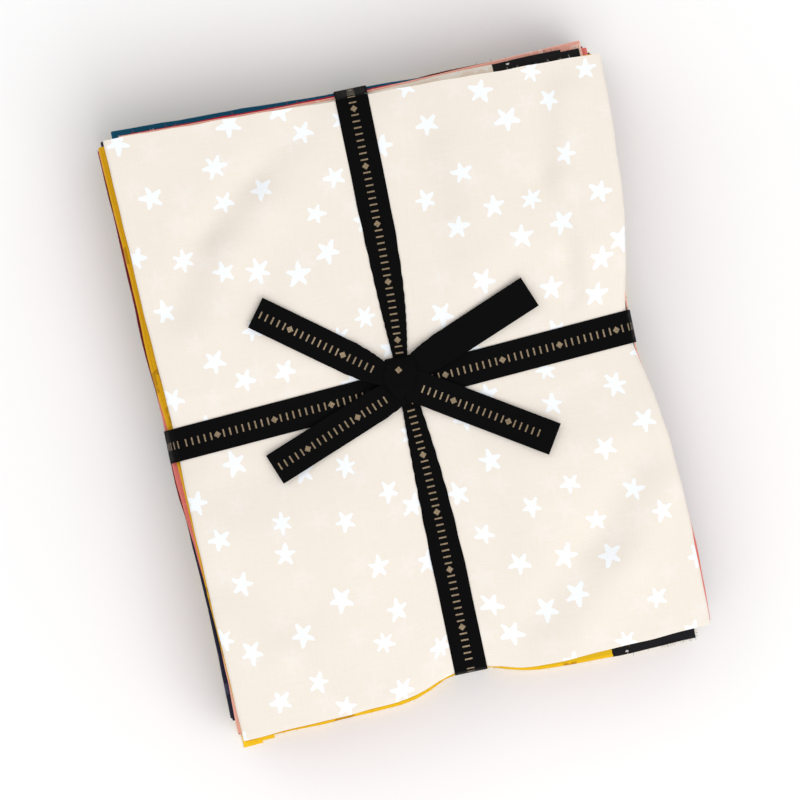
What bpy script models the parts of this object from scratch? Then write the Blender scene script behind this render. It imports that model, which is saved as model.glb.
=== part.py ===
"""A bundle of ten folded fat quarters, tied crosswise with one black ribbon.

Metres, +Z up. +Y runs along the long side of the stack and +X to its right, as seen from above.
The origin lies under the stack, below the crossing of the two ribbon bands. Each fat quarter is
folded in half and then in thirds; one sheet here stands for the doubled cloth of the half fold,
so its section is three layers joined by two folds.
"""

import math
from collections import namedtuple

import bmesh
import bpy

MM = 0.001

# Cloth: the folded size is a 457 x 559 mm cut, halved along its length and in thirds across.
FOLDED_WIDTH = 186.3 * MM
FOLDED_LENGTH = 228.5 * MM
SHEET = 1.0 * MM
PITCH = 1.35 * MM
LAYERS_PER_CLOTH = 3
FREE_SIDE_ROOM = 3.5 * MM

# A fold is a half round in three flats: how far its round reaches out, as a share of its radius,
# and how far up it its two points lie.
FOLD_REACH = 0.87
FOLD_RISES = (0.25, 0.75)

# Ribbon: half an inch wide, laid flat.
RIBBON_WIDTH = 12.7 * MM
RIBBON_SHEET = 1.0 * MM
CLEAR = 0.35 * MM
RIBBON_STEP = RIBBON_SHEET + CLEAR
RIBBON_SEAT = CLEAR + RIBBON_SHEET / 2

# The cross band slopes a little over the stack, and the long band thins towards the knot.
CROSS_SLOPE = 0.0505
PINCH = 3.6 * MM
PINCH_REACH = 26 * MM

# A band's stretch beside the stack: where it has points, and how much more room it has there.
# At the upper corners it starts to turn before the edge and stands out past it.
WALL_SHARES = [0.06, 0.16, 0.3, 0.5, 0.7, 0.84, 0.94]
WALL_ROOM = 0.1 * MM
CORNER_IN = 1.5 * MM
CORNER_OUT = 0.8 * MM
UNDER_IN = 4 * MM

# How the ribbon presses the stack: a flat strip under each band, then a ramp up to the puff.
BAND_FLAT = 9 * MM
TOP_RAMP = 37 * MM
UNDER_RAMP = 19 * MM
CROSSING_RISE = 2.8 * MM
ARM_RISE = 1.5 * MM
PUFF = 3.4 * MM
OUTER_DROP = 0.25

# Where the ribbon holds each side of the stack in: top layer, and how much the middle bulges out.
Tie = namedtuple("Tie", "place bulge reach power")
TIES = {
    "left": Tie(place=-92.3 * MM, bulge=-2.4 * MM, reach=24 * MM, power=1.3),
    "right": Tie(place=85.8 * MM, bulge=1.0 * MM, reach=30 * MM, power=1.3),
    "far": Tie(place=111.6 * MM, bulge=1.4 * MM, reach=14 * MM, power=1.5),
    "near": Tie(place=-111.2 * MM, bulge=-0.8 * MM, reach=11 * MM, power=1.6),
}

# Grid lines that every cloth shares, as distances from the middle of the band beside them.
COLUMNS = [-50, -28, -9, 9, 28, 50]
ROWS = [-86, -50, -28, -9, 9, 28, 50, 86]

# Order of a cloth's three layers along its section, from the upper side: 2 is the top one.
ZIGZAG = (2, 1, 0)
LETTER = (1, 2, 0)

# One row for each cloth, top one first. The edges are in mm: where the fold or end lies at the
# two ends of that side. start is the side of the first free end, and free_in how far it lies in.
Cloth = namedtuple(
    "Cloth",
    "name layers start free_in left_far left_near right_far right_near "
    "far_left far_right near_left near_right rgb",
)
CLOTHS = [
    Cloth("cloth_cream", LETTER, 1, 4, -96.2, -90.7, 96.6, 93.2, 114.8, 109.0, -120.6, -113.2,
          (0.92, 0.86, 0.78)),
    Cloth("cloth_mustard", ZIGZAG, -1, 2, -98.2, -91.6, 94.0, 91.4, 112.6, 108.2, -121.2, -112.4,
          (0.70, 0.38, 0.01)),
    Cloth("cloth_ivory", ZIGZAG, 1, 5, -95.0, -90.0, 93.2, 90.6, 112.6, 113.6, -119.0, -112.0,
          (0.90, 0.82, 0.70)),
    Cloth("cloth_peach", LETTER, -1, 4, -96.6, -91.0, 90.0, 90.4, 112.6, 115.9, -118.4, -111.6,
          (0.91, 0.42, 0.30)),
    Cloth("cloth_coral", ZIGZAG, 1, 3, -99.2, -94.4, 92.6, 91.2, 114.0, 112.6, -119.4, -112.4,
          (0.80, 0.20, 0.15)),
    Cloth("cloth_cherry", ZIGZAG, -1, 4, -97.8, -93.0, 91.6, 90.0, 114.6, 112.4, -118.2, -112.8,
          (0.45, 0.01, 0.03)),
    Cloth("cloth_teal", LETTER, 1, 4, -93.4, -91.6, 92.0, 90.8, 117.2, 111.8, -117.6, -111.4,
          (0.01, 0.07, 0.14)),
    Cloth("cloth_maroon", ZIGZAG, 1, 2, -100.0, -93.4, 91.0, 90.2, 114.4, 111.0, -118.6, -112.2,
          (0.19, 0.01, 0.02)),
    Cloth("cloth_midnight", LETTER, -1, 4, -98.2, -94.2, 92.4, 90.6, 115.6, 111.4, -116.4, -111.8,
          (0.02, 0.02, 0.06)),
    Cloth("cloth_sunshine", ZIGZAG, 1, 5, -97.0, -91.4, 93.0, 91.2, 114.0, 111.0, -122.2, -115.4,
          (0.85, 0.55, 0.02)),
]

# The four free ends of the ribbon, in mm. Heights are above the cloth, to the middle of the
# ribbon: at the knot, over the bands, and at the cut end. gather narrows the end at the knot.
Tail = namedtuple(
    "Tail", "name root_x root_y tip_x tip_y root_turn gather root_lift low_lift tip_lift"
)
TAILS = [
    Tail("tail_upper_left", -10.8, 6.3, -52.7, 38.7, 10, 0.40, 5.0, 1.6, 2.6),
    Tail("tail_upper_right", 4.2, 6.9, 51.4, 25.2, 0, 0.45, 3.7, 2.5, 2.6),
    Tail("tail_lower_right", 1.3, -1.2, 49.3, -31.9, 12, 0.0, 5.4, 2.0, 2.2),
    Tail("tail_lower_left", -8.2, -2.9, -57.7, -21.5, 12, 0.0, 3.7, 2.5, 2.2),
]
TAIL_STEPS = 9
GATHER_RUN = 5 * MM

# Knot: outline in mm from above, and the rings of its cage as (height, scale, shift in x, y).
KNOT_OUTLINE = [
    (-8.8, 9.2), (-3.6, 11.2), (3.3, 9.7), (2.9, 4.0), (-1.9, -6.9), (-4.5, -7.8), (-11.7, 3.1),
]
KNOT_RINGS = [(0.0, 0.72, 0.0, 0.0), (1.3, 1.0, 0.0, 0.0), (3.9, 0.98, 0.0, 0.0),
              (5.4, 0.66, -0.5, 0.5)]
KNOT_CREASE = 0.55

RIBBON_RGB = (0.008, 0.008, 0.010)
STACK_LAYERS = LAYERS_PER_CLOTH * len(CLOTHS)
STACK = (STACK_LAYERS - 1) * PITCH + SHEET


def clear_scene():
    """Removes every object, so that the script gives the same model each time it is run."""
    for old in list(bpy.data.objects):
        bpy.data.objects.remove(old, do_unlink=True)


def make_material(name, rgb, roughness):
    """A Principled material of one colour."""
    material = bpy.data.materials.new(name)
    material.use_nodes = True
    shader = material.node_tree.nodes["Principled BSDF"]
    shader.inputs["Base Color"].default_value = (*rgb, 1.0)
    shader.inputs["Roughness"].default_value = roughness
    shader.inputs["Metallic"].default_value = 0.0
    return material


def beside(distance, flat, ramp):
    """0 on the strip within `flat` of a band's middle, rising smoothly to 1 past the ramp."""
    step = min(max((abs(distance) - flat) / ramp, 0.0), 1.0)
    return step * step * (3.0 - 2.0 * step)


def cross_y(x):
    """The y of the cross band's middle line at x."""
    return CROSS_SLOPE * x


def top_height(x, y):
    """Height of the stack's upper face: low along both bands, puffed between them."""
    across = x
    along = y - cross_y(x)
    wide = min(abs(across) / (FOLDED_WIDTH / 2), 1.0)
    deep = min(abs(along) / (FOLDED_LENGTH / 2), 1.0)
    arms = ARM_RISE + (CROSSING_RISE - ARM_RISE) * (1 - wide ** 2) * (1 - deep ** 2)
    puff = beside(across, BAND_FLAT, TOP_RAMP) * beside(along, BAND_FLAT, TOP_RAMP)
    outer = (1 - OUTER_DROP * wide ** 4) * (1 - OUTER_DROP * deep ** 4)
    return STACK + arms + PUFF * puff * outer


def under_height(x, y):
    """Height of the stack's lower face: 0 but for the two grooves that the bands run in."""
    across = 1.0 - beside(x, BAND_FLAT, UNDER_RAMP)
    along = 1.0 - beside(y - cross_y(x), BAND_FLAT, UNDER_RAMP)
    return RIBBON_STEP * (across + along)


def layer_height(x, y, layer):
    """Height of the middle of a layer, counted from 0 at the bottom; folds use parts of one."""
    low = under_height(x, y) + SHEET / 2
    high = top_height(x, y) - SHEET / 2
    return low + (high - low) * layer / (STACK_LAYERS - 1)


def tied_place(side, layer):
    """Where the ribbon holds this side in, at the height of a layer."""
    tie = TIES[side]
    rise = 2.0 * layer / (STACK_LAYERS - 1) - 1.0
    return tie.place + tie.bulge * (1.0 - rise ** 4)


def pulled(side, line, distance, layer):
    """An edge's own line, drawn over to where the ribbon holds it, `distance` from the band."""
    tie = TIES[side]
    past = max(abs(distance) - BAND_FLAT, 0.0) / tie.reach
    return line + (tied_place(side, layer) - line) * math.exp(-past ** tie.power)


def mix(near, far, share):
    """The value between two, at a share of the way."""
    return near + (far - near) * share


def side_edge(cloth, side, y, x_guess, layer):
    """The x of a cloth's left or right fold at y."""
    share = y / FOLDED_LENGTH + 0.5
    if side < 0:
        line = mix(cloth.left_near, cloth.left_far, share) * MM
        return pulled("left", line, y - cross_y(x_guess), layer)
    line = mix(cloth.right_near, cloth.right_far, share) * MM
    return pulled("right", line, y - cross_y(x_guess), layer)


def end_edge(cloth, end, x, layer):
    """The y of a cloth's far or near end at x."""
    share = x / FOLDED_WIDTH + 0.5
    if end > 0:
        line = mix(cloth.far_left, cloth.far_right, share) * MM
        return pulled("far", line, x, layer)
    line = mix(cloth.near_left, cloth.near_right, share) * MM
    return pulled("near", line, x, layer)


def row_y(offset, x):
    """The y of a shared grid row: it follows the cross band and straightens away from it."""
    fade = 1.0 - abs(offset) / (FOLDED_LENGTH / 2)
    return offset + cross_y(x) * fade


def fold_section(cloth, base_layer):
    """The path of a cloth's section as (side, inset or column, layer), free end to free end."""
    section = []
    side = cloth.start
    order = [base_layer + layer for layer in cloth.layers]
    for turn, layer in enumerate(order):
        columns = COLUMNS if side < 0 else COLUMNS[::-1]
        if turn == 0:
            inset = cloth.free_in * MM
            if cloth.layers == LETTER:
                inset += FREE_SIDE_ROOM
            section.append((side, inset, layer))
        else:
            section.append((side, fold_depth(order[turn - 1], layer), layer))
        section.extend((0, column * MM, layer) for column in columns)
        side = -side
        if turn < len(order) - 1:
            after = order[turn + 1]
            section.append((side, fold_depth(layer, after), layer))
            section.extend((side, SHEET / 2, mix(layer, after, rise)) for rise in FOLD_RISES)
        else:
            section.append((side, cloth.free_in * MM, layer))
    return section


def fold_depth(layer, after):
    """How far inside a fold's outer face its round begins."""
    return SHEET / 2 + abs(after - layer) * PITCH / 2 * FOLD_REACH


def cloth_point(cloth, column, row):
    """The place of one grid point of a cloth's middle surface."""
    side, reach, layer = column
    if side == 0:
        x = reach
        y = row_place(cloth, row, x, layer)
    else:
        guess = side * FOLDED_WIDTH / 2
        y = row_place(cloth, row, guess, layer)
        x = side_edge(cloth, side, y, guess, layer) - side * reach
        y = row_place(cloth, row, x, layer)
    return (x, y, layer_height(x, y, layer))


def row_place(cloth, row, x, layer):
    """The y of a grid row at x: an end of the cloth, or a shared row."""
    if row == 0:
        return end_edge(cloth, -1, x, layer)
    if row == len(ROWS) + 1:
        return end_edge(cloth, 1, x, layer)
    return row_y(ROWS[row - 1] * MM, x)


def split_outward(grid):
    """Cuts each quad from its corner nearest the crossing, so that all layers bend alike."""
    for face in list(grid.faces):
        corners = sorted(face.verts, key=lambda vert: abs(vert.co.x) + abs(vert.co.y))
        nearest = corners[0]
        opposite = face.verts[(list(face.verts).index(nearest) + 2) % 4]
        bmesh.utils.face_split(face, nearest, opposite)


def sheet_object(name, across, along, place, thickness, material, closed=False):
    """A grid placed point by point, given its thickness by Solidify."""
    mesh = bpy.data.meshes.new(name)
    grid = bmesh.new()
    bmesh.ops.create_grid(grid, x_segments=across, y_segments=along, size=0.5)
    for vert in grid.verts:
        column = round((vert.co.x + 0.5) * across)
        row = round((vert.co.y + 0.5) * along)
        vert.co = place(column, row)
    if closed:
        bmesh.ops.remove_doubles(grid, verts=grid.verts, dist=0.01 * MM)
    bmesh.ops.recalc_face_normals(grid, faces=grid.faces)
    split_outward(grid)
    grid.to_mesh(mesh)
    grid.free()
    mesh.materials.append(material)
    sheet = bpy.data.objects.new(name, mesh)
    solid = sheet.modifiers.new("Thickness", "SOLIDIFY")
    solid.thickness = thickness
    solid.offset = 0.0
    solid.use_even_offset = True
    solid.use_quality_normals = True
    return sheet


def make_cloth(cloth, base_layer):
    """One folded fat quarter: its section swept along the stack."""
    section = fold_section(cloth, base_layer)
    material = make_material(cloth.name, cloth.rgb, 0.85)
    return sheet_object(
        cloth.name,
        len(section) - 1,
        len(ROWS) + 1,
        lambda column, row: cloth_point(cloth, section[column], row),
        SHEET,
        material,
    )


def band_wall(side, layer):
    """How far out the middle of a band lies beside the stack, at the height of a layer."""
    away = 1.0 if side in ("right", "far") else -1.0
    return tied_place(side, layer) + away * (RIBBON_SEAT + WALL_ROOM)


def wall_layers(upward):
    """The heights, as layers, at which a band's stretch beside the stack has points."""
    top = STACK_LAYERS - 1
    layers = [share * top for share in WALL_SHARES]
    return layers if upward else layers[::-1]


def band_loop(stations, high_side, low_side, over, under, walls):
    """A band's closed middle line as (run, height): over the top, down, below and up again."""
    loop = []
    first = tied_place(low_side, STACK_LAYERS - 1)
    last = tied_place(high_side, STACK_LAYERS - 1)
    loop.append((first - CORNER_OUT, over(first) + CORNER_OUT - RIBBON_SEAT))
    loop.append((first + CORNER_IN, over(first + CORNER_IN)))
    loop.extend((run, over(run)) for run in stations)
    loop.append((last - CORNER_IN, over(last - CORNER_IN)))
    loop.append((last + CORNER_OUT, over(last) + CORNER_OUT - RIBBON_SEAT))
    loop.extend((band_wall(high_side, layer), walls(last, layer)) for layer in wall_layers(False))
    last_low = band_wall(high_side, 0)
    first_low = band_wall(low_side, 0)
    loop.append((last_low, under(last_low)))
    loop.append((last_low - UNDER_IN, under(last_low - UNDER_IN)))
    loop.extend((run, under(run)) for run in reversed(stations))
    loop.append((first_low + UNDER_IN, under(first_low + UNDER_IN)))
    loop.append((first_low, under(first_low)))
    loop.extend((band_wall(low_side, layer), walls(first, layer)) for layer in wall_layers(True))
    loop.append(loop[0])
    return loop


def make_cross_band(material):
    """The band across the stack: on the cloth above, and over the long band below."""
    loop = band_loop(
        [column * MM for column in COLUMNS],
        "right",
        "left",
        lambda x: top_height(x, cross_y(x)) + RIBBON_SEAT,
        lambda x: RIBBON_SHEET / 2 + RIBBON_STEP * (1.0 - beside(x, BAND_FLAT, UNDER_RAMP)),
        lambda x, layer: layer_height(x, cross_y(x), layer),
    )

    def place(column, row):
        x, z = loop[column]
        return (x, cross_y(x) + (row - 0.5) * RIBBON_WIDTH, z)

    return sheet_object("ribbon_cross_band", len(loop) - 1, 1, place, RIBBON_SHEET, material, True)


def make_long_band(material):
    """The band along the stack: over the cross band above, and flat on the surface below."""

    def over(y):
        bridge = 1.0 - beside(y, BAND_FLAT, UNDER_RAMP)
        return top_height(0.0, y) + RIBBON_SEAT + RIBBON_STEP * bridge

    loop = band_loop(
        [row * MM for row in ROWS],
        "far",
        "near",
        over,
        lambda y: RIBBON_SHEET / 2,
        lambda y, layer: layer_height(0.0, y, layer),
    )

    def place(column, row):
        y, z = loop[column]
        pinch = 0.0
        if z > STACK:
            pinch = 2 * PINCH * math.exp(-(abs(y) / PINCH_REACH) ** 1.3)
        return ((0.5 - row) * (RIBBON_WIDTH - pinch), y, z)

    return sheet_object("ribbon_long_band", len(loop) - 1, 1, place, RIBBON_SHEET, material, True)


def make_tail(tail, material):
    """One free end of the ribbon, from the knot to its cut end, lying over what is below it."""
    run_x = (tail.tip_x - tail.root_x) * MM
    run_y = (tail.tip_y - tail.root_y) * MM
    length = math.hypot(run_x, run_y)
    heading = math.atan2(run_y, run_x)

    def place(column, row):
        share = (column / TAIL_STEPS) ** 1.2
        turn = math.radians(tail.root_turn) * (1.0 - share) ** 3
        gathered = 1.0 - tail.gather * math.exp(-share * length / GATHER_RUN)
        reach = (row - 1) * RIBBON_WIDTH / 2 * gathered
        x = tail.root_x * MM + run_x * share - math.sin(heading + turn) * reach
        y = tail.root_y * MM + run_y * share + math.cos(heading + turn) * reach
        drop = (tail.root_lift - tail.low_lift) * (1.0 - share) ** 3
        curl = (tail.tip_lift - tail.low_lift) * share ** 4
        return (x, y, top_height(x, y) + (tail.low_lift + drop + curl) * MM)

    return sheet_object(tail.name, TAIL_STEPS, 2, place, RIBBON_SHEET, material)


def make_knot(material):
    """The knot: rings of one outline lofted into a cage, rounded by Subdivision."""
    base = top_height(0.0, 0.0) + 2 * RIBBON_STEP + CLEAR
    middle_x = sum(x for x, y in KNOT_OUTLINE) / len(KNOT_OUTLINE)
    middle_y = sum(y for x, y in KNOT_OUTLINE) / len(KNOT_OUTLINE)
    cage = bmesh.new()
    rings = []
    for height, scale, shift_x, shift_y in KNOT_RINGS:
        ring = []
        for x, y in KNOT_OUTLINE:
            ring_x = (middle_x + (x - middle_x) * scale + shift_x) * MM
            ring_y = (middle_y + (y - middle_y) * scale + shift_y) * MM
            ring.append(cage.verts.new((ring_x, ring_y, base + height * MM)))
        rings.append(ring)
    count = len(KNOT_OUTLINE)
    for lower, upper in zip(rings, rings[1:]):
        for step in range(count):
            after = (step + 1) % count
            cage.faces.new((lower[step], lower[after], upper[after], upper[step]))
    cage.faces.new(rings[0])
    cage.faces.new(rings[-1])
    bmesh.ops.recalc_face_normals(cage, faces=cage.faces)
    crease = cage.edges.layers.float.new("crease_edge")
    for edge in cage.edges:
        edge[crease] = KNOT_CREASE
    mesh = bpy.data.meshes.new("ribbon_knot")
    cage.to_mesh(mesh)
    cage.free()
    mesh.materials.append(material)
    knot = bpy.data.objects.new("ribbon_knot", mesh)
    soft = knot.modifiers.new("Soft", "SUBSURF")
    soft.levels = 2
    soft.render_levels = 2
    return knot


def main():
    """Builds every piece and puts them in one collection."""
    clear_scene()
    bundle = bpy.data.collections.new("fat_quarter_bundle")
    bpy.context.scene.collection.children.link(bundle)
    pieces = []
    for index, cloth in enumerate(CLOTHS):
        below = len(CLOTHS) - 1 - index
        pieces.append(make_cloth(cloth, below * LAYERS_PER_CLOTH))
    ribbon = make_material("ribbon_black", RIBBON_RGB, 0.5)
    pieces.append(make_cross_band(ribbon))
    pieces.append(make_long_band(ribbon))
    pieces.extend(make_tail(tail, ribbon) for tail in TAILS)
    pieces.append(make_knot(ribbon))
    for piece in pieces:
        bundle.objects.link(piece)


main()
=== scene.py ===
"""Looks of a fat quarter bundle: ten folded cottons under one black ribbon, tied crosswise.

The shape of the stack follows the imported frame: the same heights, ties and fold lines, in metres,
with +Y along the long side, +X to its right and +Z up. Each cotton is one sheet of 457 x 559 mm,
folded in half and then in thirds, so that its panels have two plies each.
"""

import logging
import math
from dataclasses import dataclass, field, replace
from enum import Enum
from typing import Callable

import bmesh
import bpy
import numpy as np
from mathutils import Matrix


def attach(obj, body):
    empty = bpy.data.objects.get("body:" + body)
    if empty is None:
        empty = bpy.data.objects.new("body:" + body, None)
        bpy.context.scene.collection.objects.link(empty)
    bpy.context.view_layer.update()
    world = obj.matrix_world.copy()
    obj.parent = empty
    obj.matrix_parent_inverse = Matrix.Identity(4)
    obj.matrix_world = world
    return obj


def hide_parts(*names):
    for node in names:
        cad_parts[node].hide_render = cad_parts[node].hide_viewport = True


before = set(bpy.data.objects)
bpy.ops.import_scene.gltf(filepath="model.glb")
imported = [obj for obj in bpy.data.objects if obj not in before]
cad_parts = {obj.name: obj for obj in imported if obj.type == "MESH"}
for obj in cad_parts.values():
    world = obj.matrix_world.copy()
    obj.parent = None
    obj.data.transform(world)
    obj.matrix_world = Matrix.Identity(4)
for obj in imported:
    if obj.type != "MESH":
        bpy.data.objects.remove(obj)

LOG = logging.getLogger("fat_quarter_bundle")
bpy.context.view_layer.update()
MM = 0.001
ROOT = "root"
FULL_TURN = 6.28  # radians, the range of random turns

Array = np.ndarray
Rgb = tuple[float, float, float]
Pair = tuple[float, float]
Profile = Callable[[float], float]
Socket = bpy.types.NodeSocket
Value = Socket | bpy.types.Material | float | str | tuple[float, ...]


def smooth(step: Array) -> Array:
    """A smooth step from 0 to 1.

    Args:
        step: where along the step each value lies; outside 0 to 1 it is clipped.

    Returns:
        The eased values.
    """
    eased = np.clip(step, 0.0, 1.0)
    return eased * eased * (3.0 - 2.0 * eased)


def mix(near: float, far: float, share: float) -> float:
    """The value at a share of the way from `near` to `far`."""
    return near + (far - near) * share


class Side(Enum):
    """The four sides of the stack, as seen from above with the long side upright."""

    LEFT = "left"
    RIGHT = "right"
    FAR = "far"
    NEAR = "near"


class FoldOrder(Enum):
    """How a cotton's three panels follow each other from its first free end: 2 is the top one."""

    ZIGZAG = (2, 1, 0)
    LETTER = (1, 2, 0)


class HalfFold(Enum):
    """The end of the stack at which the two plies of a cotton are joined."""

    FAR = 1
    NEAR = -1


@dataclass(frozen=True)
class Tie:
    """Where the ribbon holds one side of the stack in.

    Attributes:
        place: the edge of the top layer there.
        bulge: how much further out the middle layers lie.
        reach: how far along the side the pull is felt.
        power: how quickly the pull fades.
    """

    place: float
    bulge: float
    reach: float
    power: float


@dataclass(frozen=True)
class Crease:
    """A soft trough or ridge in the upper cloth, along a line seen from above, in millimetres."""

    x0: float
    y0: float
    x1: float
    y1: float
    rise: float
    width: float

    def height(self, x: Array, y: Array) -> Array:
        """How much the crease lifts or lowers the cloth.

        Args:
            x: places across the stack, in metres.
            y: places along the stack, in metres.

        Returns:
            The lift at each place, in metres.
        """
        start_x, start_y = self.x0 * MM, self.y0 * MM
        run_x, run_y = self.x1 * MM - start_x, self.y1 * MM - start_y
        share = ((x - start_x) * run_x + (y - start_y) * run_y) / (run_x ** 2 + run_y ** 2)
        share = np.clip(share, 0.0, 1.0)
        away = (x - start_x - share * run_x) ** 2 + (y - start_y - share * run_y) ** 2
        return self.rise * MM * np.exp(-away / (self.width * MM) ** 2)


@dataclass
class StackShape:
    """The shape that all the cottons and the ribbon share: heights, ties and creases."""

    folded_width: float = 186.3 * MM
    folded_length: float = 228.5 * MM
    panel_sheet: float = 1.0 * MM
    pitch: float = 1.35 * MM
    layers: int = 30
    ribbon_step: float = 1.35 * MM
    cross_slope: float = 0.0505
    band_flat: float = 9 * MM
    tie_flat: float = 6.6 * MM
    top_ramp: float = 34 * MM
    under_ramp: float = 19 * MM
    crossing_rise: float = 2.8 * MM
    arm_rise: float = 1.5 * MM
    puff: float = 4.3 * MM
    outer_drop: float = 0.25
    bead: float = 0.45 * MM
    bead_place: float = 13 * MM
    bead_width: float = 4.5 * MM
    shoulder: float = 2.2 * MM
    shoulder_run: float = 13 * MM
    shoulder_reach: float = 11 * MM
    crease_fade: float = 8.0
    ties: dict[Side, Tie] = field(default_factory=lambda: {
        Side.LEFT: Tie(-92.3 * MM, -2.4 * MM, 24 * MM, 1.3),
        Side.RIGHT: Tie(85.8 * MM, 1.0 * MM, 30 * MM, 1.3),
        Side.FAR: Tie(111.6 * MM, 1.4 * MM, 14 * MM, 1.5),
        Side.NEAR: Tie(-111.2 * MM, -0.8 * MM, 11 * MM, 1.6),
    })
    creases: tuple[Crease, ...] = (
        Crease(-26, 102, -44, 90, -1.3, 6),
        Crease(-44, 90, -66, 72, -1.6, 6),
        Crease(-66, 72, -84, 46, -1.5, 7),
        Crease(-18, 90, -38, 77, 0.9, 9),
        Crease(-38, 77, -57, 63, 1.7, 9),
        Crease(-57, 63, -70, 38, 1.7, 9),
        Crease(-34, 46, -24, 22, 0.9, 11),
        Crease(-86, 12, -46, 15, 2.6, 19),
        Crease(-94, 108, -78, 115, 1.6, 20),
        Crease(20, 88, 24, 66, -1.0, 9),
        Crease(34, 82, 38, 62, 1.3, 9),
        Crease(72, 104, 62, 66, -1.3, 7),
        Crease(62, 66, 67, 34, -1.4, 6),
        Crease(81, 96, 73, 64, 1.4, 6),
        Crease(73, 64, 78, 38, 1.4, 5),
        Crease(67, 34, 64, 12, -1.3, 5),
        Crease(76, 36, 74, 14, 1.2, 5),
        Crease(44, 46, 26, 30, 0.8, 10),
        Crease(77, -46, 55, -72, -2.0, 8),
        Crease(55, -72, 27, -97, -1.8, 8),
        Crease(88, -58, 69, -84, 1.9, 8),
        Crease(69, -84, 42, -108, 1.7, 8),
        Crease(24, -34, 40, -52, 0.8, 11),
        Crease(46, -24, 74, -30, -0.6, 10),
        Crease(-88, -74, -70, -92, 1.3, 8),
        Crease(-70, -92, -52, -116, 1.1, 8),
        Crease(-80, -58, -58, -78, -1.1, 9),
        Crease(-58, -78, -38, -106, -0.9, 9),
        Crease(-36, -30, -22, -62, 1.0, 12),
        Crease(-70, -26, -48, -42, -0.7, 11),
    )

    def cross_y(self, x: Array) -> Array:
        """The middle line of the cross band."""
        return self.cross_slope * x

    def beside(self, distance: Array, ramp: float) -> Array:
        """0 under a band, rising to 1 past the ramp beside it.

        Args:
            distance: how far each place is from the band's middle line.
            ramp: the width of the rise.

        Returns:
            The share of the full rise.
        """
        return smooth((np.abs(distance) - self.band_flat) / ramp)

    def top(self, x: Array, y: Array) -> Array:
        """Height of the upper face of the stack, without its creases.

        Args:
            x: places across the stack.
            y: places along the stack.

        Returns:
            The heights.
        """
        along = y - self.cross_y(x)
        wide = np.minimum(np.abs(x) / (self.folded_width / 2), 1.0)
        deep = np.minimum(np.abs(along) / (self.folded_length / 2), 1.0)
        arms = self.crossing_rise - self.arm_rise
        arms = self.arm_rise + arms * (1 - wide ** 2) * (1 - deep ** 2)
        puff = self.beside(x, self.top_ramp) * self.beside(along, self.top_ramp)
        outer = (1 - self.outer_drop * wide ** 4) * (1 - self.outer_drop * deep ** 4)
        stack = (self.layers - 1) * self.pitch + self.panel_sheet
        return stack + arms + self.puff * puff * outer - self.crush(x, along)

    def crush(self, x: Array, along: Array) -> Array:
        """How far the ribbon draws the shoulders of the stack down where it turns over them.

        Args:
            x: places across the stack.
            along: places along the stack, from the middle line of the cross band.

        Returns:
            The drop at each place.
        """
        ends = ((x, along, Side.RIGHT, 1.0), (x, along, Side.LEFT, -1.0),
                (along, x, Side.FAR, 1.0), (along, x, Side.NEAR, -1.0))
        drop = np.zeros(np.broadcast(x, along).shape)
        for run, off, side, away in ends:
            edge = abs(self.ties[side].place)
            near_edge = np.clip((run * away - edge) / self.shoulder_run + 1.0, 0.0, 1.3)
            near_band = np.exp(-(np.maximum(np.abs(off) - 6 * MM, 0.0) / self.shoulder_reach) ** 2)
            drop = drop + self.shoulder * near_edge ** 2 * near_band
        return drop

    def under(self, x: Array, y: Array) -> Array:
        """Height of the lower face of the stack: 0 but for the grooves over the bands."""
        across = 1.0 - self.beside(x, self.under_ramp)
        along = 1.0 - self.beside(y - self.cross_y(x), self.under_ramp)
        return self.ribbon_step * (across + along)

    def relief(self, x: Array, y: Array) -> Array:
        """The creases of the upper cloth and the soft beads beside the ribbon.

        Args:
            x: places across the stack.
            y: places along the stack.

        Returns:
            The lift of the top ply at each place.
        """
        along = y - self.cross_y(x)
        clear_x = smooth((np.abs(x) - 7 * MM) / (9 * MM))
        clear_y = smooth((np.abs(along) - 7 * MM) / (9 * MM))
        lift = sum(crease.height(x, y) for crease in self.creases) * clear_x * clear_y
        bead_x = np.exp(-((np.abs(x) - self.bead_place) / self.bead_width) ** 2) * clear_y
        bead_y = np.exp(-((np.abs(along) - self.bead_place) / self.bead_width) ** 2) * clear_x
        return lift + self.bead * (bead_x + bead_y)

    def height(self, x: Array, y: Array, layer: Array) -> Array:
        """Height of the middle of a layer, the creases fading out below the top ones.

        Args:
            x: places across the stack.
            y: places along the stack.
            layer: which layer, counted from 0 at the bottom, in parts where a fold turns.

        Returns:
            The heights.
        """
        low = self.under(x, y) + self.panel_sheet / 2
        high = self.top(x, y) - self.panel_sheet / 2
        last = self.layers - 1
        weight = np.exp((layer - last) / self.crease_fade)
        return low + (high - low) * layer / last + self.relief(x, y) * weight

    def top_face(self, x: Array, y: Array) -> Array:
        """Height of the upper face of the stack, creases included."""
        return self.top(x, y) + self.relief(x, y)

    def tied(self, side: Side, layer: Array) -> Array:
        """Where the ribbon holds a side in, at the height of a layer."""
        tie = self.ties[side]
        rise = 2.0 * layer / (self.layers - 1) - 1.0
        return tie.place + tie.bulge * (1.0 - rise ** 4)

    def pulled(self, side: Side, line: Array, off: Array, layer: Array, out: float) -> Array:
        """An edge's own line, drawn over to where the ribbon holds it.

        Args:
            side: the side of the stack.
            line: where the edge would lie without the ribbon.
            off: the distance from the middle of the band that crosses this edge.
            layer: the layer.
            out: how far this cloth stays outside the common line under the band.

        Returns:
            The places of the edge.
        """
        tie = self.ties[side]
        past = np.maximum(np.abs(off) - self.tie_flat, 0.0) / tie.reach
        held = self.tied(side, layer) + math.copysign(out, tie.place * out)
        return line + (held - line) * np.exp(-past ** tie.power)


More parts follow.
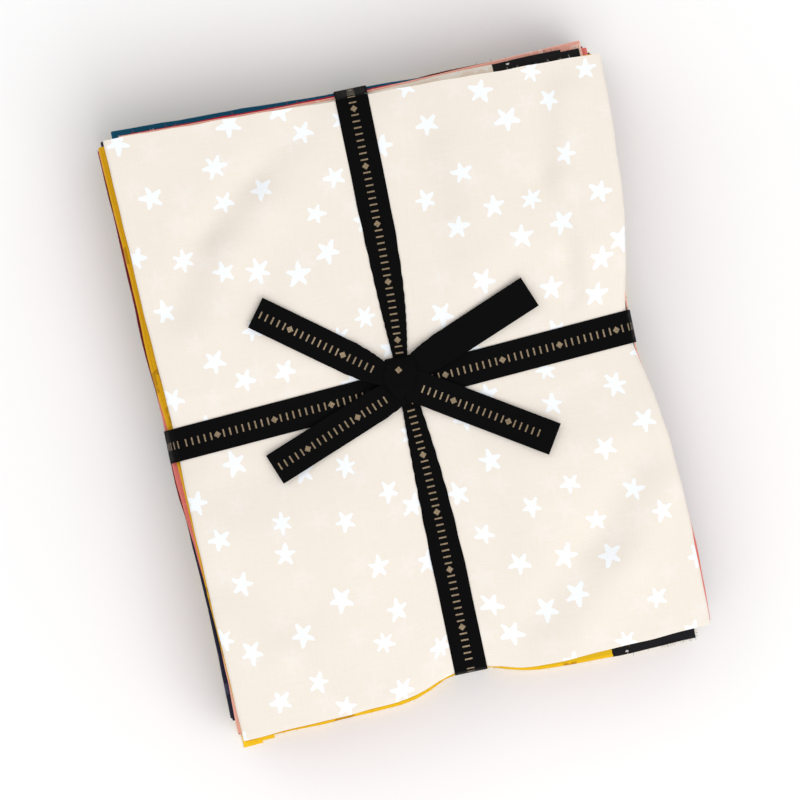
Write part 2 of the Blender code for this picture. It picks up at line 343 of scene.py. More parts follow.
class NodeWriter:
    """Short calls that add nodes to a tree and join them."""

    def __init__(self, tree: bpy.types.NodeTree) -> None:
        """Keeps the tree that the calls fill."""
        self.tree = tree

    def add(self, kind: str, inputs: dict[str | int, Value], **settings: str) -> bpy.types.Node:
        """Adds a node.

        Args:
            kind: the node's type.
            inputs: socket name or index to a value or to another node's output.
            settings: the node's own properties.

        Returns:
            The new node.
        """
        node = self.tree.nodes.new(kind)
        for key, value in settings.items():
            setattr(node, key, value)
        for key, value in inputs.items():
            self.set(node.inputs[key], value)
        return node

    def set(self, socket: Socket, value: Value) -> None:
        """Gives a socket a value, or joins an output to it."""
        if isinstance(value, Socket):
            self.tree.links.new(value, socket)
        else:
            socket.default_value = value

    def math(self, operation: str, first: Value, second: Value = 0.0) -> Socket:
        """The result of a Math node."""
        return self.add("ShaderNodeMath", {0: first, 1: second}, operation=operation).outputs[0]

    def vector(self, operation: str, first: Value, second: Value = (0.0, 0.0, 0.0)) -> Socket:
        """The result of a Vector Math node: a number for a length, or else a vector."""
        node = self.add("ShaderNodeVectorMath", {0: first, 1: second}, operation=operation)
        return node.outputs["Value" if operation == "LENGTH" else "Vector"]


class MaterialTree(NodeWriter):
    """A new material, and short calls that fill its shader tree."""

    def __init__(self, name: str) -> None:
        """Makes the material with its shader and output."""
        self.material = bpy.data.materials.new(name)
        self.material.use_nodes = True
        super().__init__(self.material.node_tree)

    def dressed(self, values: dict[str, Value]) -> bpy.types.Material:
        """Gives the shader its inputs, and returns the finished material."""
        shader = self.tree.nodes["Principled BSDF"]
        for key, value in values.items():
            self.set(shader.inputs[key], value)
        return self.material

    def flat(self) -> Socket:
        """The flat measure of the piece."""
        return self.add("ShaderNodeUVMap", {}, uv_map="flat").outputs[0]

    def parts(self, vector: Socket) -> list[Socket]:
        """The x, y and z of a vector."""
        return list(self.add("ShaderNodeSeparateXYZ", {0: vector}).outputs)

    def blend(self, share: Value, first: Value, second: Value) -> Socket:
        """A colour between two, at a share of the way."""
        node = self.add("ShaderNodeMix", {0: share, 6: first, 7: second}, data_type="RGBA")
        return node.outputs[2]

    def spread(
        self, value: Value, low: float, high: float, out_low: float = 0.0, out_high: float = 1.0
    ) -> Socket:
        """A value moved from one range to another, clamped.

        Args:
            value: the value.
            low, high: the range it comes from.
            out_low, out_high: the range it is moved to.

        Returns:
            The value in its new range.
        """
        inputs = {0: value, 1: low, 2: high, 3: out_low, 4: out_high}
        return self.add("ShaderNodeMapRange", inputs).outputs[0]

    def noise(self, vector: Socket, scale: float, detail: float = 2.0) -> Socket:
        """A noise value."""
        inputs = {"Vector": vector, "Scale": scale, "Detail": detail, "Roughness": 0.5}
        return self.add("ShaderNodeTexNoise", inputs).outputs["Fac"]

    def bump(self, strength: float, distance: float, height: Socket) -> Socket:
        """The normal of a surface with a fine relief."""
        inputs = {"Strength": strength, "Distance": distance, "Height": height}
        return self.add("ShaderNodeBump", inputs).outputs[0]


def rgba(colour: Rgb) -> tuple[float, float, float, float]:
    """A colour with full opacity."""
    return (*colour, 1.0)


@dataclass(frozen=True)
class PrintedCotton:
    """Plain woven cotton with a scattered star print.

    Attributes:
        name: the material's name.
        ground: the cloth's colour.
        motif: the stars' colour.
        star: the stars' size across, in metres.
        spacing: the mean distance between stars, in metres.
        scatter: how far the stars leave an even layout, from 0 to 1.
        turn: the turn of the layout, in radians.
        notch: how far out the notches between a star's arms lie, as a share of its radius.
        tip: where its sides would meet, as a share of its radius; they are rounded off before.
        rounding: how softly they are rounded off.
        lean: how uneven a star's arms are, as a share of its radius.
        six_from: the chance from 0 to 1 past which a star has six arms and not five.
        wobble: how uneven its edge is, in metres.
        selvedge: the width of a black selvedge, or 0.
        dot_step: the distance between the dots on the selvedge, in metres.
        dot_in: how far inside the selvedge's inner edge the dots lie, in metres.
        light: the dots' colour.
        black: the selvedge's colour.
        through: how strongly the print of the ply below shows through, from 0 to 1.
        below: how far the print of the ply below is shifted from this one, in metres.
        weave_step: the length over which the weave repeats, in metres.
    """

    name: str
    ground: Rgb
    motif: Rgb
    star: float = 9.5 * MM
    spacing: float = 20 * MM
    scatter: float = 0.62
    turn: float = 0.45
    notch: float = 0.47
    tip: float = 1.38
    rounding: float = 0.12
    lean: float = 0.06
    six_from: float = 0.85
    wobble: float = 1.5 * MM
    selvedge: float = 0.0
    dot_step: float = 5.2 * MM
    dot_in: float = 6 * MM
    light: Rgb = (0.75, 0.75, 0.72)
    black: Rgb = (0.012, 0.012, 0.014)
    through: float = 0.0
    below: tuple[float, float, float] = (0.31, 0.17, 0.0)
    weave_step: float = 0.42 * MM

    def material(self) -> bpy.types.Material:
        """Builds the material on the sheet's own flat measure.

        Returns:
            The material.
        """
        nodes = MaterialTree(self.name)
        flat = nodes.flat()
        threads = self.threads(nodes, flat)
        shade = tuple(channel * 0.975 for channel in self.ground)
        ground = nodes.blend(threads, rgba(shade), rgba(self.ground))
        if self.through:
            below = nodes.vector("ADD", flat, self.below)
            ghosts = nodes.math("MULTIPLY", self.stars(nodes, below, 1.5 * MM), self.through)
            ground = nodes.blend(ghosts, ground, rgba(self.motif))
        colour = nodes.blend(self.stars(nodes, flat), ground, rgba(self.motif))
        if self.selvedge:
            colour = self.with_selvedge(nodes, flat, colour)
        return nodes.dressed({
            "Base Color": colour, "Roughness": 0.88, "Specular IOR Level": 0.22,
            "Sheen Weight": 0.04, "Sheen Roughness": 0.45,
            "Normal": self.weave(nodes, flat, threads),
        })

    def threads(self, nodes: MaterialTree, flat: Socket) -> Socket:
        """Uneven warp and weft threads.

        Args:
            nodes: the tree to add to.
            flat: the cloth's flat measure.

        Returns:
            A value from 0 to 1.
        """
        warp = nodes.vector("MULTIPLY", flat, (1900.0, 70.0, 1.0))
        weft = nodes.vector("MULTIPLY", flat, (90.0, 1700.0, 1.0))
        both = nodes.math("ADD", nodes.noise(warp, 1.0, 1.0), nodes.noise(weft, 1.0, 1.0))
        return nodes.spread(both, 0.72, 1.2)

    def weave(self, nodes: MaterialTree, flat: Socket, threads: Socket) -> Socket:
        """The relief of a plain weave with a few thicker threads.

        Args:
            nodes: the tree to add to.
            flat: the cloth's flat measure.
            threads: the uneven threads.

        Returns:
            The normal.
        """
        step = 2 * math.pi / self.weave_step
        warp, weft = (
            nodes.math("SINE", nodes.math("MULTIPLY", part, step)) for part in nodes.parts(flat)[:2]
        )
        cells = nodes.math("MULTIPLY", warp, weft)
        height = nodes.math("ADD", nodes.math("MULTIPLY", cells, 0.25), threads)
        return nodes.bump(0.22, 0.10 * MM, height)

    def stars(self, nodes: MaterialTree, flat: Socket, blur: float = 0.0) -> Socket:
        """A scatter of round-armed stars, each turned and sized by chance.

        Args:
            nodes: the tree to add to.
            flat: the cloth's flat measure.
            blur: how far a star's edge is blurred to each side.

        Returns:
            1 inside a star, 0 outside.
        """
        turned = nodes.add(
            "ShaderNodeMapping",
            {"Vector": flat, "Rotation": (0.0, 0.0, self.turn), "Scale": (1 / self.spacing,) * 3},
        ).outputs[0]
        cells = nodes.add(
            "ShaderNodeTexVoronoi",
            {"Vector": turned, "Scale": 1.0, "Randomness": self.scatter},
            voronoi_dimensions="2D",
        )
        chance = nodes.add("ShaderNodeSeparateColor", {0: cells.outputs["Color"]}).outputs
        local = nodes.vector("SUBTRACT", turned, cells.outputs["Position"])
        parts = nodes.parts(local)
        angle = nodes.math("ARCTAN2", parts[1], parts[0])
        angle = nodes.math("ADD", angle, nodes.math("MULTIPLY", chance[0], FULL_TURN))
        arms = nodes.math("ADD", nodes.math("GREATER_THAN", chance[1], self.six_from), 5.0)
        reach = self.outline(nodes, angle, nodes.math("DIVIDE", math.pi, arms))
        lean = nodes.math("ADD", nodes.math("MULTIPLY", angle, 2.0), chance[2])
        lean = nodes.math("MULTIPLY", nodes.math("COSINE", lean), self.lean)
        reach = nodes.math("ADD", reach, lean)
        reach = nodes.math("MULTIPLY", reach, nodes.spread(chance[2], 0.0, 1.0, 0.86, 1.08))
        reach = nodes.math("MULTIPLY", reach, self.star / self.spacing / 2)
        rough = nodes.math("SUBTRACT", nodes.noise(flat, 1000.0), 0.5)
        rough = nodes.math("MULTIPLY", rough, self.wobble / self.spacing)
        edge = nodes.math("ADD", reach, rough)
        inside = nodes.math("SUBTRACT", edge, nodes.vector("LENGTH", local))
        return nodes.spread(inside, -blur / self.spacing, (0.3 * MM + blur) / self.spacing)

    def outline(self, nodes: MaterialTree, angle: Socket, half_arm: Socket) -> Socket:
        """How far out a star's outline lies: straight sides from tip to notch, rounded off.

        Args:
            nodes: the tree to add to.
            angle: the way from the star's middle, in radians.
            half_arm: the angle from a tip to the notch beside it.

        Returns:
            The distance from the middle, as a share of the star's radius.
        """
        off_tip = nodes.math("PINGPONG", angle, half_arm)
        notch = nodes.math("MULTIPLY", nodes.math("SINE", half_arm), self.notch * self.tip)
        to_notch = nodes.math("SINE", nodes.math("SUBTRACT", half_arm, off_tip))
        to_notch = nodes.math("MULTIPLY", to_notch, self.notch)
        to_tip = nodes.math("MULTIPLY", nodes.math("SINE", off_tip), self.tip)
        straight = nodes.math("DIVIDE", notch, nodes.math("ADD", to_notch, to_tip))
        inputs = {0: straight, 1: 1.0, 2: self.rounding}
        return nodes.add("ShaderNodeMath", inputs, operation="SMOOTH_MIN").outputs[0]

    def with_selvedge(self, nodes: MaterialTree, flat: Socket, colour: Socket) -> Socket:
        """Adds a black strip with a row of plain dots along the first free end.

        Args:
            nodes: the tree to add to.
            flat: the cloth's flat measure.
            colour: the print beside it.

        Returns:
            The colour with the strip.
        """
        parts = nodes.parts(flat)
        strip = nodes.spread(parts[0], self.selvedge + 0.1 * MM, self.selvedge - 0.1 * MM)
        around = nodes.math("PINGPONG", nodes.math("ADD", parts[1], 0.6 * MM), self.dot_step / 2)
        beyond = nodes.math("SUBTRACT", parts[0], self.selvedge - self.dot_in)
        away = nodes.math("ADD", nodes.math("POWER", around, 2.0), nodes.math("POWER", beyond, 2.0))
        dots = nodes.spread(nodes.math("SQRT", away), 0.75 * MM, 0.6 * MM)
        marked = nodes.blend(dots, rgba(self.black), rgba(self.light))
        return nodes.blend(strip, colour, marked)


@dataclass(frozen=True)
class WovenRibbon:
    """Black woven ribbon with a soft satin face, fine cross ribs and a firmer edge.

    Attributes:
        name: the material's name.
        colour: the ribbon's colour.
        streak: its colour where the threads catch more light.
        rib: the distance between its cross ribs, in metres.
        width: the ribbon's width, in metres.
    """

    name: str = "ribbon_weave"
    colour: Rgb = (0.0030, 0.0030, 0.0032)
    streak: Rgb = (0.0048, 0.0048, 0.0052)
    rib: float = 0.36 * MM
    width: float = 12.7 * MM

    def material(self) -> bpy.types.Material:
        """Builds the material on the ribbon's own length and width.

        Returns:
            The material.
        """
        nodes = MaterialTree(self.name)
        flat = nodes.flat()
        parts = nodes.parts(flat)
        ribs = nodes.math("SINE", nodes.math("MULTIPLY", parts[0], 2 * math.pi / self.rib))
        streaks = nodes.noise(nodes.vector("MULTIPLY", flat, (60.0, 2600.0, 1.0)), 1.0)
        edge = nodes.math("ABSOLUTE", nodes.math("SUBTRACT", parts[1], self.width / 2))
        edge = nodes.spread(edge, self.width / 2 - 0.9 * MM, self.width / 2 - 0.5 * MM)
        gloss = nodes.spread(streaks, 0.3, 0.7, 0.50, 0.66)
        height = nodes.math("ADD", nodes.math("MULTIPLY", ribs, 0.5), streaks)
        return nodes.dressed({
            "Base Color": nodes.blend(streaks, rgba(self.colour), rgba(self.streak)),
            "Roughness": nodes.math("ADD", gloss, nodes.math("MULTIPLY", edge, 0.15)),
            "Specular IOR Level": 0.30, "IOR": 1.08,
            "Normal": nodes.bump(0.4, 0.08 * MM, nodes.math("ADD", height, edge)),
        })


@dataclass(frozen=True)
class FoilInk:
    """The muted gold of the marks on the ribbon, slightly mottled where it is thin."""

    name: str = "foil_gold"
    colour: Rgb = (0.31, 0.225, 0.135)
    thin: Rgb = (0.16, 0.12, 0.07)

    def material(self) -> bpy.types.Material:
        """Builds the material on the piece's own place."""
        nodes = MaterialTree(self.name)
        place = nodes.add("ShaderNodeTexCoord", {}).outputs["Object"]
        cover = nodes.spread(nodes.noise(place, 2200.0), 0.35, 0.6)
        colour = nodes.blend(cover, rgba(self.thin), rgba(self.colour))
        return nodes.dressed({"Base Color": colour, "Metallic": 0.35, "Roughness": 0.42})


@dataclass(frozen=True)
class WhiteFloor:
    """The plain white floor, with a barely uneven tone."""

    name: str = "floor_white"
    colour: Rgb = (0.95, 0.95, 0.95)
    shade: Rgb = (0.93, 0.93, 0.93)

    def material(self) -> bpy.types.Material:
        """Builds the material on the floor's own place."""
        nodes = MaterialTree(self.name)
        place = nodes.add("ShaderNodeTexCoord", {}).outputs["Object"]
        tone = nodes.spread(nodes.noise(place, 3.0), 0.3, 0.7)
        colour = nodes.blend(tone, rgba(self.shade), rgba(self.colour))
        return nodes.dressed({"Base Color": colour, "Roughness": 0.9, "Specular IOR Level": 0.1})


class GeometryTree(NodeWriter):
    """A Geometry Nodes tree with named inputs, and short calls that fill it."""

    def __init__(self, name: str) -> None:
        """Makes a tree with a geometry input and output."""
        super().__init__(bpy.data.node_groups.new(name, "GeometryNodeTree"))
        self.input_ids: dict[str, str] = {}
        for way in ("INPUT", "OUTPUT"):
            self.tree.interface.new_socket(
                "Geometry", in_out=way, socket_type="NodeSocketGeometry"
            )
        self.start = self.tree.nodes.new("NodeGroupInput")
        self.end = self.tree.nodes.new("NodeGroupOutput")

    def named_inputs(self, kinds: dict[str, str]) -> list[Socket]:
        """Adds named inputs of the tree.

        Args:
            kinds: each input's name and the kind of its value, such as Float.

        Returns:
            The sockets that give their values inside the tree.
        """
        for name, kind in kinds.items():
            socket = self.tree.interface.new_socket(
                name, in_out="INPUT", socket_type="NodeSocket" + kind
            )
            self.input_ids[name] = socket.identifier
        return [self.start.outputs[name] for name in kinds]

    def scaled(self, vector: Value, scale: Value) -> Socket:
        """A vector times a number."""
        node = self.add("ShaderNodeVectorMath", {0: vector, "Scale": scale}, operation="SCALE")
        return node.outputs[0]

    def combined(self, x: Value, y: Value = 0.0, z: Value = 0.0) -> Socket:
        """A vector from three numbers."""
        return self.add("ShaderNodeCombineXYZ", {0: x, 1: y, 2: z}).outputs[0]

    def read(self, what: str) -> Socket:
        """What an input node gives, such as Position, Normal or Index."""
        return self.add("GeometryNodeInput" + what, {}).outputs[0]

    def attribute(self, name: str, kind: str = "FLOAT_VECTOR") -> Socket:
        """A named attribute of the geometry it is read on."""
        node = self.add("GeometryNodeInputNamedAttribute", {"Name": name}, data_type=kind)
        return node.outputs[0]

    def chance(self, low: float, high: float, seed: Value) -> Socket:
        """A random number of each point's own."""
        inputs = {2: low, 3: high, "Seed": seed}
        return self.add("FunctionNodeRandomValue", inputs, data_type="FLOAT").outputs[1]

    def moved(self, geometry: Socket, place: Socket) -> Socket:
        """The geometry with its points set to new places."""
        return self.add("GeometryNodeSetPosition", {0: geometry, "Position": place}).outputs[0]

    def with_flat(self, geometry: Socket, flat: Socket) -> Socket:
        """The geometry with its flat measure stored as a UV map."""
        return self.add(
            "GeometryNodeStoreNamedAttribute",
            {"Geometry": geometry, "Name": "flat", "Value": flat},
            data_type="FLOAT2",
            domain="CORNER",
        ).outputs[0]

    def on_surface(self, value: Socket, flat: Socket) -> Socket:
        """A value of the source's surface at a flat measure."""
        inputs = {
            "Mesh": self.start.outputs[0], "Value": value,
            "UV Map": self.attribute("flat"), "Sample UV": flat,
        }
        return self.add("GeometryNodeSampleUVSurface", inputs, data_type="FLOAT_VECTOR").outputs[0]

    def at_index(self, value: Socket, index: Socket, kind: str = "FLOAT_VECTOR") -> Socket:
        """A value of the source's point with this index."""
        inputs = {"Geometry": self.start.outputs[0], "Value": value, "Index": index}
        return self.add("GeometryNodeSampleIndex", inputs, data_type=kind).outputs[0]

    def finish(self, geometry: Socket, material: Socket) -> None:
        """Ends the tree in Realize Instances and Set Material."""
        real = self.add("GeometryNodeRealizeInstances", {0: geometry})
        dressed = self.add("GeometryNodeSetMaterial", {0: real.outputs[0], "Material": material})
        self.tree.links.new(dressed.outputs[0], self.end.inputs[0])

    def run(self, source: bpy.types.Object, name: str, values: dict[str, Value]) -> bpy.types.Object:
        """Runs the tree on an object and keeps the result as a plain mesh.

        Args:
            source: the object that gives the geometry, which stays as it is.
            name: the new object's name.
            values: input name to value.

        Returns:
            The new object, with no modifier.
        """
        modifier = source.modifiers.new("Tree", "NODES")
        modifier.node_group = self.tree
        for key, value in values.items():
            modifier[self.input_ids[key]] = value
        mesh = evaluated_mesh(source, name)
        source.modifiers.remove(modifier)
        return new_object(name, mesh)


def new_object(name: str, mesh: bpy.types.Mesh) -> bpy.types.Object:
    """Puts a mesh in the scene as an object at the origin."""
    made = bpy.data.objects.new(name, mesh)
    bpy.context.scene.collection.objects.link(made)
    return made


def evaluated_mesh(source: bpy.types.Object, name: str) -> bpy.types.Mesh:
    """The mesh of an object with its modifiers applied.

    Args:
        source: the object.
        name: the new mesh's name.

    Returns:
        A plain mesh.
    """
    bpy.context.view_layer.update()
    graph = bpy.context.evaluated_depsgraph_get()
    mesh = bpy.data.meshes.new_from_object(source.evaluated_get(graph))
    mesh.name = name
    return mesh


def thickened(source: bpy.types.Object, thickness: float, offset: float = 0.0) -> bpy.types.Object:
    """Gives an open sheet its thickness and keeps the result as a plain mesh.

    Args:
        source: the open sheet, which is replaced.
        thickness: how thick it becomes.
        offset: 0 keeps the sheet in the middle of it.

    Returns:
        The closed piece.
    """
    name = source.name
    solid = source.modifiers.new("Thickness", "SOLIDIFY")
    solid.thickness = thickness
    solid.offset = offset
    solid.use_even_offset = True
    solid.use_quality_normals = True
    mesh = evaluated_mesh(source, name)
    bpy.data.objects.remove(source, do_unlink=True)
    mesh.shade_smooth()
    mesh.set_sharp_from_angle(angle=math.radians(50))
    return new_object(name, mesh)


def grid_mesh(name: str, points: Array, flat: Array) -> bpy.types.Object:
    """An open sheet from a grid of points.

    Args:
        name: the object's name.
        points: places, as (columns, rows, 3).
        flat: the flat measure of each point, as (columns, rows, 2).

    Returns:
        The object, with its UV map named flat.
    """
    columns, rows = points.shape[:2]
    index = np.arange(columns * rows).reshape(columns, rows)
    quads = np.stack(
        [index[:-1, :-1], index[1:, :-1], index[1:, 1:], index[:-1, 1:]], axis=-1
    ).reshape(-1, 4)
    mesh = bpy.data.meshes.new(name)
    mesh.from_pydata(points.reshape(-1, 3), [], quads.tolist())
    layer = mesh.uv_layers.new(name="flat")
    layer.data.foreach_set("uv", flat.reshape(-1, 2)[quads.reshape(-1)].astype(np.float32).ravel())
    mesh.update()
    return new_object(name, mesh)


@dataclass
class FoldedCotton:
    """One fat quarter, folded in half and then in thirds.

    Attributes:
        name: the frame's node that it stands for.
        finish: its print.
        order: how its panels follow each other.
        start: the side of its first free end, -1 for left and 1 for right.
        free_in: how far the free ends lie inside the folds, in mm.
        edges: the edge lines in mm, named for the side and the end at which they are given.
        half_fold: the end at which the plies are joined.
        fine: whether it is the top one, whose upper ply has the finest mesh.
        tie_out: how far it stays outside the common line under the ribbon, in mm, by side.
        far_bow: how far the middle of its far edge lies beyond its ends, in mm.
        slip: how much is cut from the free ends of one ply at the raw end, in mm; the sign
            picks the ply.
        bulges: places where a side stands out: the side, the place along it, its reach and how
            far, in mm.
        step_in: how much further in each lower panel's raw end lies, in mm.
        tab: the width of a piece left standing at a corner of the raw end, in mm.
        tab_out: how far that piece stands out.
        seed: what picks this cotton's own unevenness.
        panel_width: the width across which the corner piece is measured, in mm.
        ply: the thickness of one ply.
        ply_offset: how far each ply lies from the middle of the two.
        ply_short: how much shorter the second ply is at the raw end.
        fold_step: the radius of a fold for each layer that it turns over, in mm.
        free_side_room: how much further in the first free end of a letter fold lies.
        floor_room: the least gap below the cloth.
        cut_width, cut_length: the size of the flat cut.
    """

    name: str
    finish: PrintedCotton
    order: FoldOrder
    start: int
    free_in: float
    edges: dict[str, float]
    half_fold: HalfFold
    seed: int
    fine: bool = False
    tie_out: dict[Side, float] = field(default_factory=dict)
    far_bow: float = 0.0
    slip: float = 0.0
    step_in: float = 0.3
    bulges: tuple[tuple[Side, float, float, float], ...] = ()
    tab: float = 0.0
    tab_out: float = 2.4 * MM
    ply: float = 0.40 * MM
    ply_offset: float = 0.28 * MM
    free_side_room: float = 3.5 * MM
    floor_room: float = 0.08 * MM
    ply_short: float = 0.9 * MM
    fold_step: float = 0.68
    panel_width: float = 184
    cut_width: float = 457 * MM
    cut_length: float = 559 * MM

    def panel_steps(self, layer_in_cloth: int) -> int:
        """How many steps a panel has across the stack."""
        return 88 if self.fine and layer_in_cloth == 2 else 30

    def edge_line(self, side: Side, share: Array) -> Array:
        """An edge's own line between its two given ends.

        Args:
            side: the side of the stack.
            share: how far along the edge each place lies, from 0 to 1.

        Returns:
            The places, in metres.
        """
        ends = {
            Side.LEFT: ("left_near", "left_far"),
            Side.RIGHT: ("right_near", "right_far"),
            Side.NEAR: ("near_left", "near_right"),
            Side.FAR: ("far_left", "far_right"),
        }[side]
        bow = self.far_bow * (1 - (2 * share - 1) ** 2) if side is Side.FAR else 0.0
        return (mix(self.edges[ends[0]], self.edges[ends[1]], share) + bow) * MM

    def waver(self, along: Array, key: int, size: float) -> Array:
        """A small smooth unevenness along an edge.

        Args:
            along: places along the edge.
            key: a number of this edge's own.
            size: how large it may be.

        Returns:
            The shift of the edge at each place.
        """
        chance = np.random.default_rng(self.seed * 97 + key)
        total = np.zeros(np.shape(along))
        for wave in (58 * MM, 31 * MM, 17 * MM):
            phase = chance.uniform(0, FULL_TURN)
            total = total + np.sin(along / wave * 2 * math.pi + phase) * chance.uniform(0.3, 1)
        return total * size / 2

    def side_edge(self, shape: StackShape, away: int, y: Array, layer: Array) -> Array:
        """The x of a fold's outer face, or of a free end before its inset.

        Args:
            shape: the stack's shape.
            away: -1 on the left and 1 on the right.
            y: places along the side.
            layer: the layer.

        Returns:
            The places.
        """
        share = y / shape.folded_length + 0.5
        guess = away * shape.folded_width / 2
        off = y - shape.cross_y(guess)
        fade = 1.0 - np.exp(-(off / (20 * MM)) ** 2)
        side, key = (Side.LEFT, 1) if away < 0 else (Side.RIGHT, 2)
        edge = shape.pulled(side, self.edge_line(side, share), off, layer, self.out(side))
        return edge + self.waver(y, key, 0.2 * MM) * fade + away * self.bulge(side, y)

    def bulge(self, side: Side, along: Array) -> Array:
        """How far a side stands out at each place along it.

        Args:
            side: the side.
            along: places along the side.

        Returns:
            The distances, outwards.
        """
        total = np.zeros(np.shape(along))
        for where, place, reach, rise in self.bulges:
            if where is side:
                total = total + rise * MM * np.exp(-((along / MM - place) / reach) ** 2)
        return total

    def out(self, side: Side) -> float:
        """How far this cloth stays outside the common line under the ribbon."""
        return self.tie_out.get(side, 0.0) * MM

    def end_edge(self, shape: StackShape, end: int, x: Array, layer: Array) -> Array:
        """The y of an end of the folded cloth.

        Args:
            shape: the stack's shape.
            end: 1 for the far end and -1 for the near one.
            x: places across the stack.
            layer: the layer.

        Returns:
            The places.
        """
        side = Side.FAR if end > 0 else Side.NEAR
        share = x / shape.folded_width + 0.5
        line = self.edge_line(side, share) + self.waver(x, 3 + end, 0.18 * MM)
        line = line + end * self.bulge(side, x)
        return shape.pulled(side, line, x, layer, self.out(side))

    def section(self, base: int) -> dict[str, Array]:
        """The path of the folded section, free end to free end.

        Args:
            base: the layer number of the cloth's lowest panel.

        Returns:
            Arrays along the path: the layer, the share across the panel, the inset from the edge
            at both of its sides, the reach of a fold beyond it, and the direction of the plies.
        """
        rows: list[tuple[float, ...]] = []
        order = [base + step for step in self.order.value]
        side = self.start
        for turn, layer in enumerate(order):
            steps = self.panel_steps(self.order.value[turn])
            here = self.inset(order, turn, first=True)
            there = self.inset(order, turn, first=False)
            free = (turn == 0, turn == 2) if side < 0 else (turn == 2, turn == 0)
            left, right = (here, there) if side < 0 else (there, here)
            for share in self.panel_shares(steps, turn):
                across = share if side < 0 else 1.0 - share
                trim = (1.0 - share, 0.0, -share)[turn]
                rows.append((layer, across, left, right, *free, trim, 0.0, 0.0, -side))
            side = -side
            if turn < 2:
                rows.extend(self.fold_rows(order, turn, side))
        columns = ("layer", "across", "left", "right", "left_free", "right_free",
                   "trim", "reach", "ply_x", "ply_z")
        return dict(zip(columns, np.array(rows, dtype=float).T))

    def panel_shares(self, steps: int, turn: int) -> Array:
        """The steps across a panel, with two more at the side of a corner tab.

        Args:
            steps: how many even steps there are.
            turn: which panel along the section.

        Returns:
            The shares from the panel's first end to its last.
        """
        shares = np.linspace(0.0, 1.0, steps)
        if not self.tab or turn != 2:
            return shares
        sides = [1.0 - (self.tab + off) * MM / (self.panel_width * MM) for off in (-0.2, 0.2)]
        return np.sort(np.append(shares, sides))

    def inset(self, order: list[int], turn: int, first: bool) -> float:
        """How far inside the edge a panel's flat part begins or ends.

        Args:
            order: the layers along the path.
            turn: which panel.
            first: whether its first end is meant.

        Returns:
            The distance.
        """
        if first and turn == 0:
            room = self.free_side_room if self.order is FoldOrder.LETTER else 0.0
            return self.free_in * MM + room
        if not first and turn == 2:
            return self.free_in * MM
        other = order[turn - 1] if first else order[turn + 1]
        return self.fold_radius(order[turn], other) + self.ply_offset + self.ply / 2

    def fold_radius(self, layer: int, after: int) -> float:
        """The radius of the fold between two layers, at the middle of the doubled cloth."""
        return abs(after - layer) * self.fold_step * MM

    def fold_rows(self, order: list[int], turn: int, side: int) -> list[tuple[float, ...]]:
        """The rows of the section that turn from one panel to the next.

        Args:
            order: the layers along the path.
            turn: the panel before the fold.
            side: the side of the fold.

        Returns:
            The rows.
        """
        layer, after = order[turn], order[turn + 1]
        radius = self.fold_radius(layer, after)
        inset = radius + self.ply_offset + self.ply / 2
        steps = 6 + 2 * abs(after - layer)
        rows = []
        for step in range(1, steps):
            angle = math.pi * step / steps
            height = mix(layer, after, (1 - math.cos(angle)) / 2)
            across = 0.0 if side < 0 else 1.0
            reach = side * radius * math.sin(angle)
            down = math.copysign(1.0, after - layer)
            ply = (-down * math.sin(angle), side * math.cos(angle))
            rows.append((height, across, inset, inset, 0.0, 0.0, 0.0, reach, *ply))
        return rows

    def length_rows(self) -> tuple[Array, Array, Array]:
        """The rows along the cloth: out along the first ply, round the half fold and back.

        Returns:
            The share from the raw end to the half fold, the ply from 1 to -1, and the bend of the
            half fold from 0 to 1.
        """
        first = np.linspace(0.0, 1.0, 108 if self.fine else 38)
        back = np.linspace(1.0, 0.0, 38)
        turns = np.linspace(0.0, math.pi, 7)[1:-1]
        share = np.concatenate([first, np.ones(len(turns)), back])
        ply = np.concatenate([np.ones(len(first)), np.cos(turns), -np.ones(len(back))])
        bend = np.concatenate([np.zeros(len(first)), np.sin(turns), np.zeros(len(back))])
        return share, ply, bend

    def surface(self, shape: StackShape, base: int) -> tuple[Array, Array]:
        """The middle surface of the cloth.

        Args:
            shape: the stack's shape.
            base: the layer number of its lowest panel.

        Returns:
            The points as (columns, rows, 3) and their flat measure as (columns, rows, 2).
        """
        path = {key: value[:, None] for key, value in self.section(base).items()}
        share, ply, bend = (row[None, :] for row in self.length_rows())
        fold_end = self.half_fold.value
        raw_end = -fold_end
        layer = path["layer"]
        x = (path["across"] - 0.5) * shape.folded_width
        on_tab = (path["across"] * self.panel_width < self.tab) & (layer == base)
        slip = abs(self.slip) * MM * (1.0 - share) * (ply * self.slip > 0)
        fold_in = fold_end * (self.ply_offset + self.ply / 2)
        for _ in range(2):
            fold_y = self.end_edge(shape, fold_end, x, layer) - fold_in
            raw_y = self.end_edge(shape, raw_end, x, layer)
            raw_y = raw_y - raw_end * np.where(ply < 0, self.ply_short, 0.0)
            raw_y = raw_y + self.waver(x, 8, 0.12 * MM)
            raw_y = raw_y - raw_end * self.step_in * MM * (base + 2 - layer)
            raw_y = raw_y + raw_end * self.tab_out * on_tab
            y = mix(raw_y, fold_y, share) + fold_end * bend * self.ply_offset
            left = self.side_edge(shape, -1, y, layer) + path["left"] + path["left_free"] * slip
            right = self.side_edge(shape, 1, y, layer) - path["right"] - path["right_free"] * slip
            x = mix(left, right, path["across"]) + path["reach"]
        offset = ply * self.ply_offset
        x = x + offset * path["ply_x"]
        z = shape.height(x, y, layer) + offset * path["ply_z"]
        z = np.maximum(z, self.ply / 2 + self.floor_room)
        points = np.stack(np.broadcast_arrays(x, y, z), axis=-1)
        flat = self.flat_measure(points, share, ply)
        flat[..., 0] += path["trim"] * slip
        return points, flat

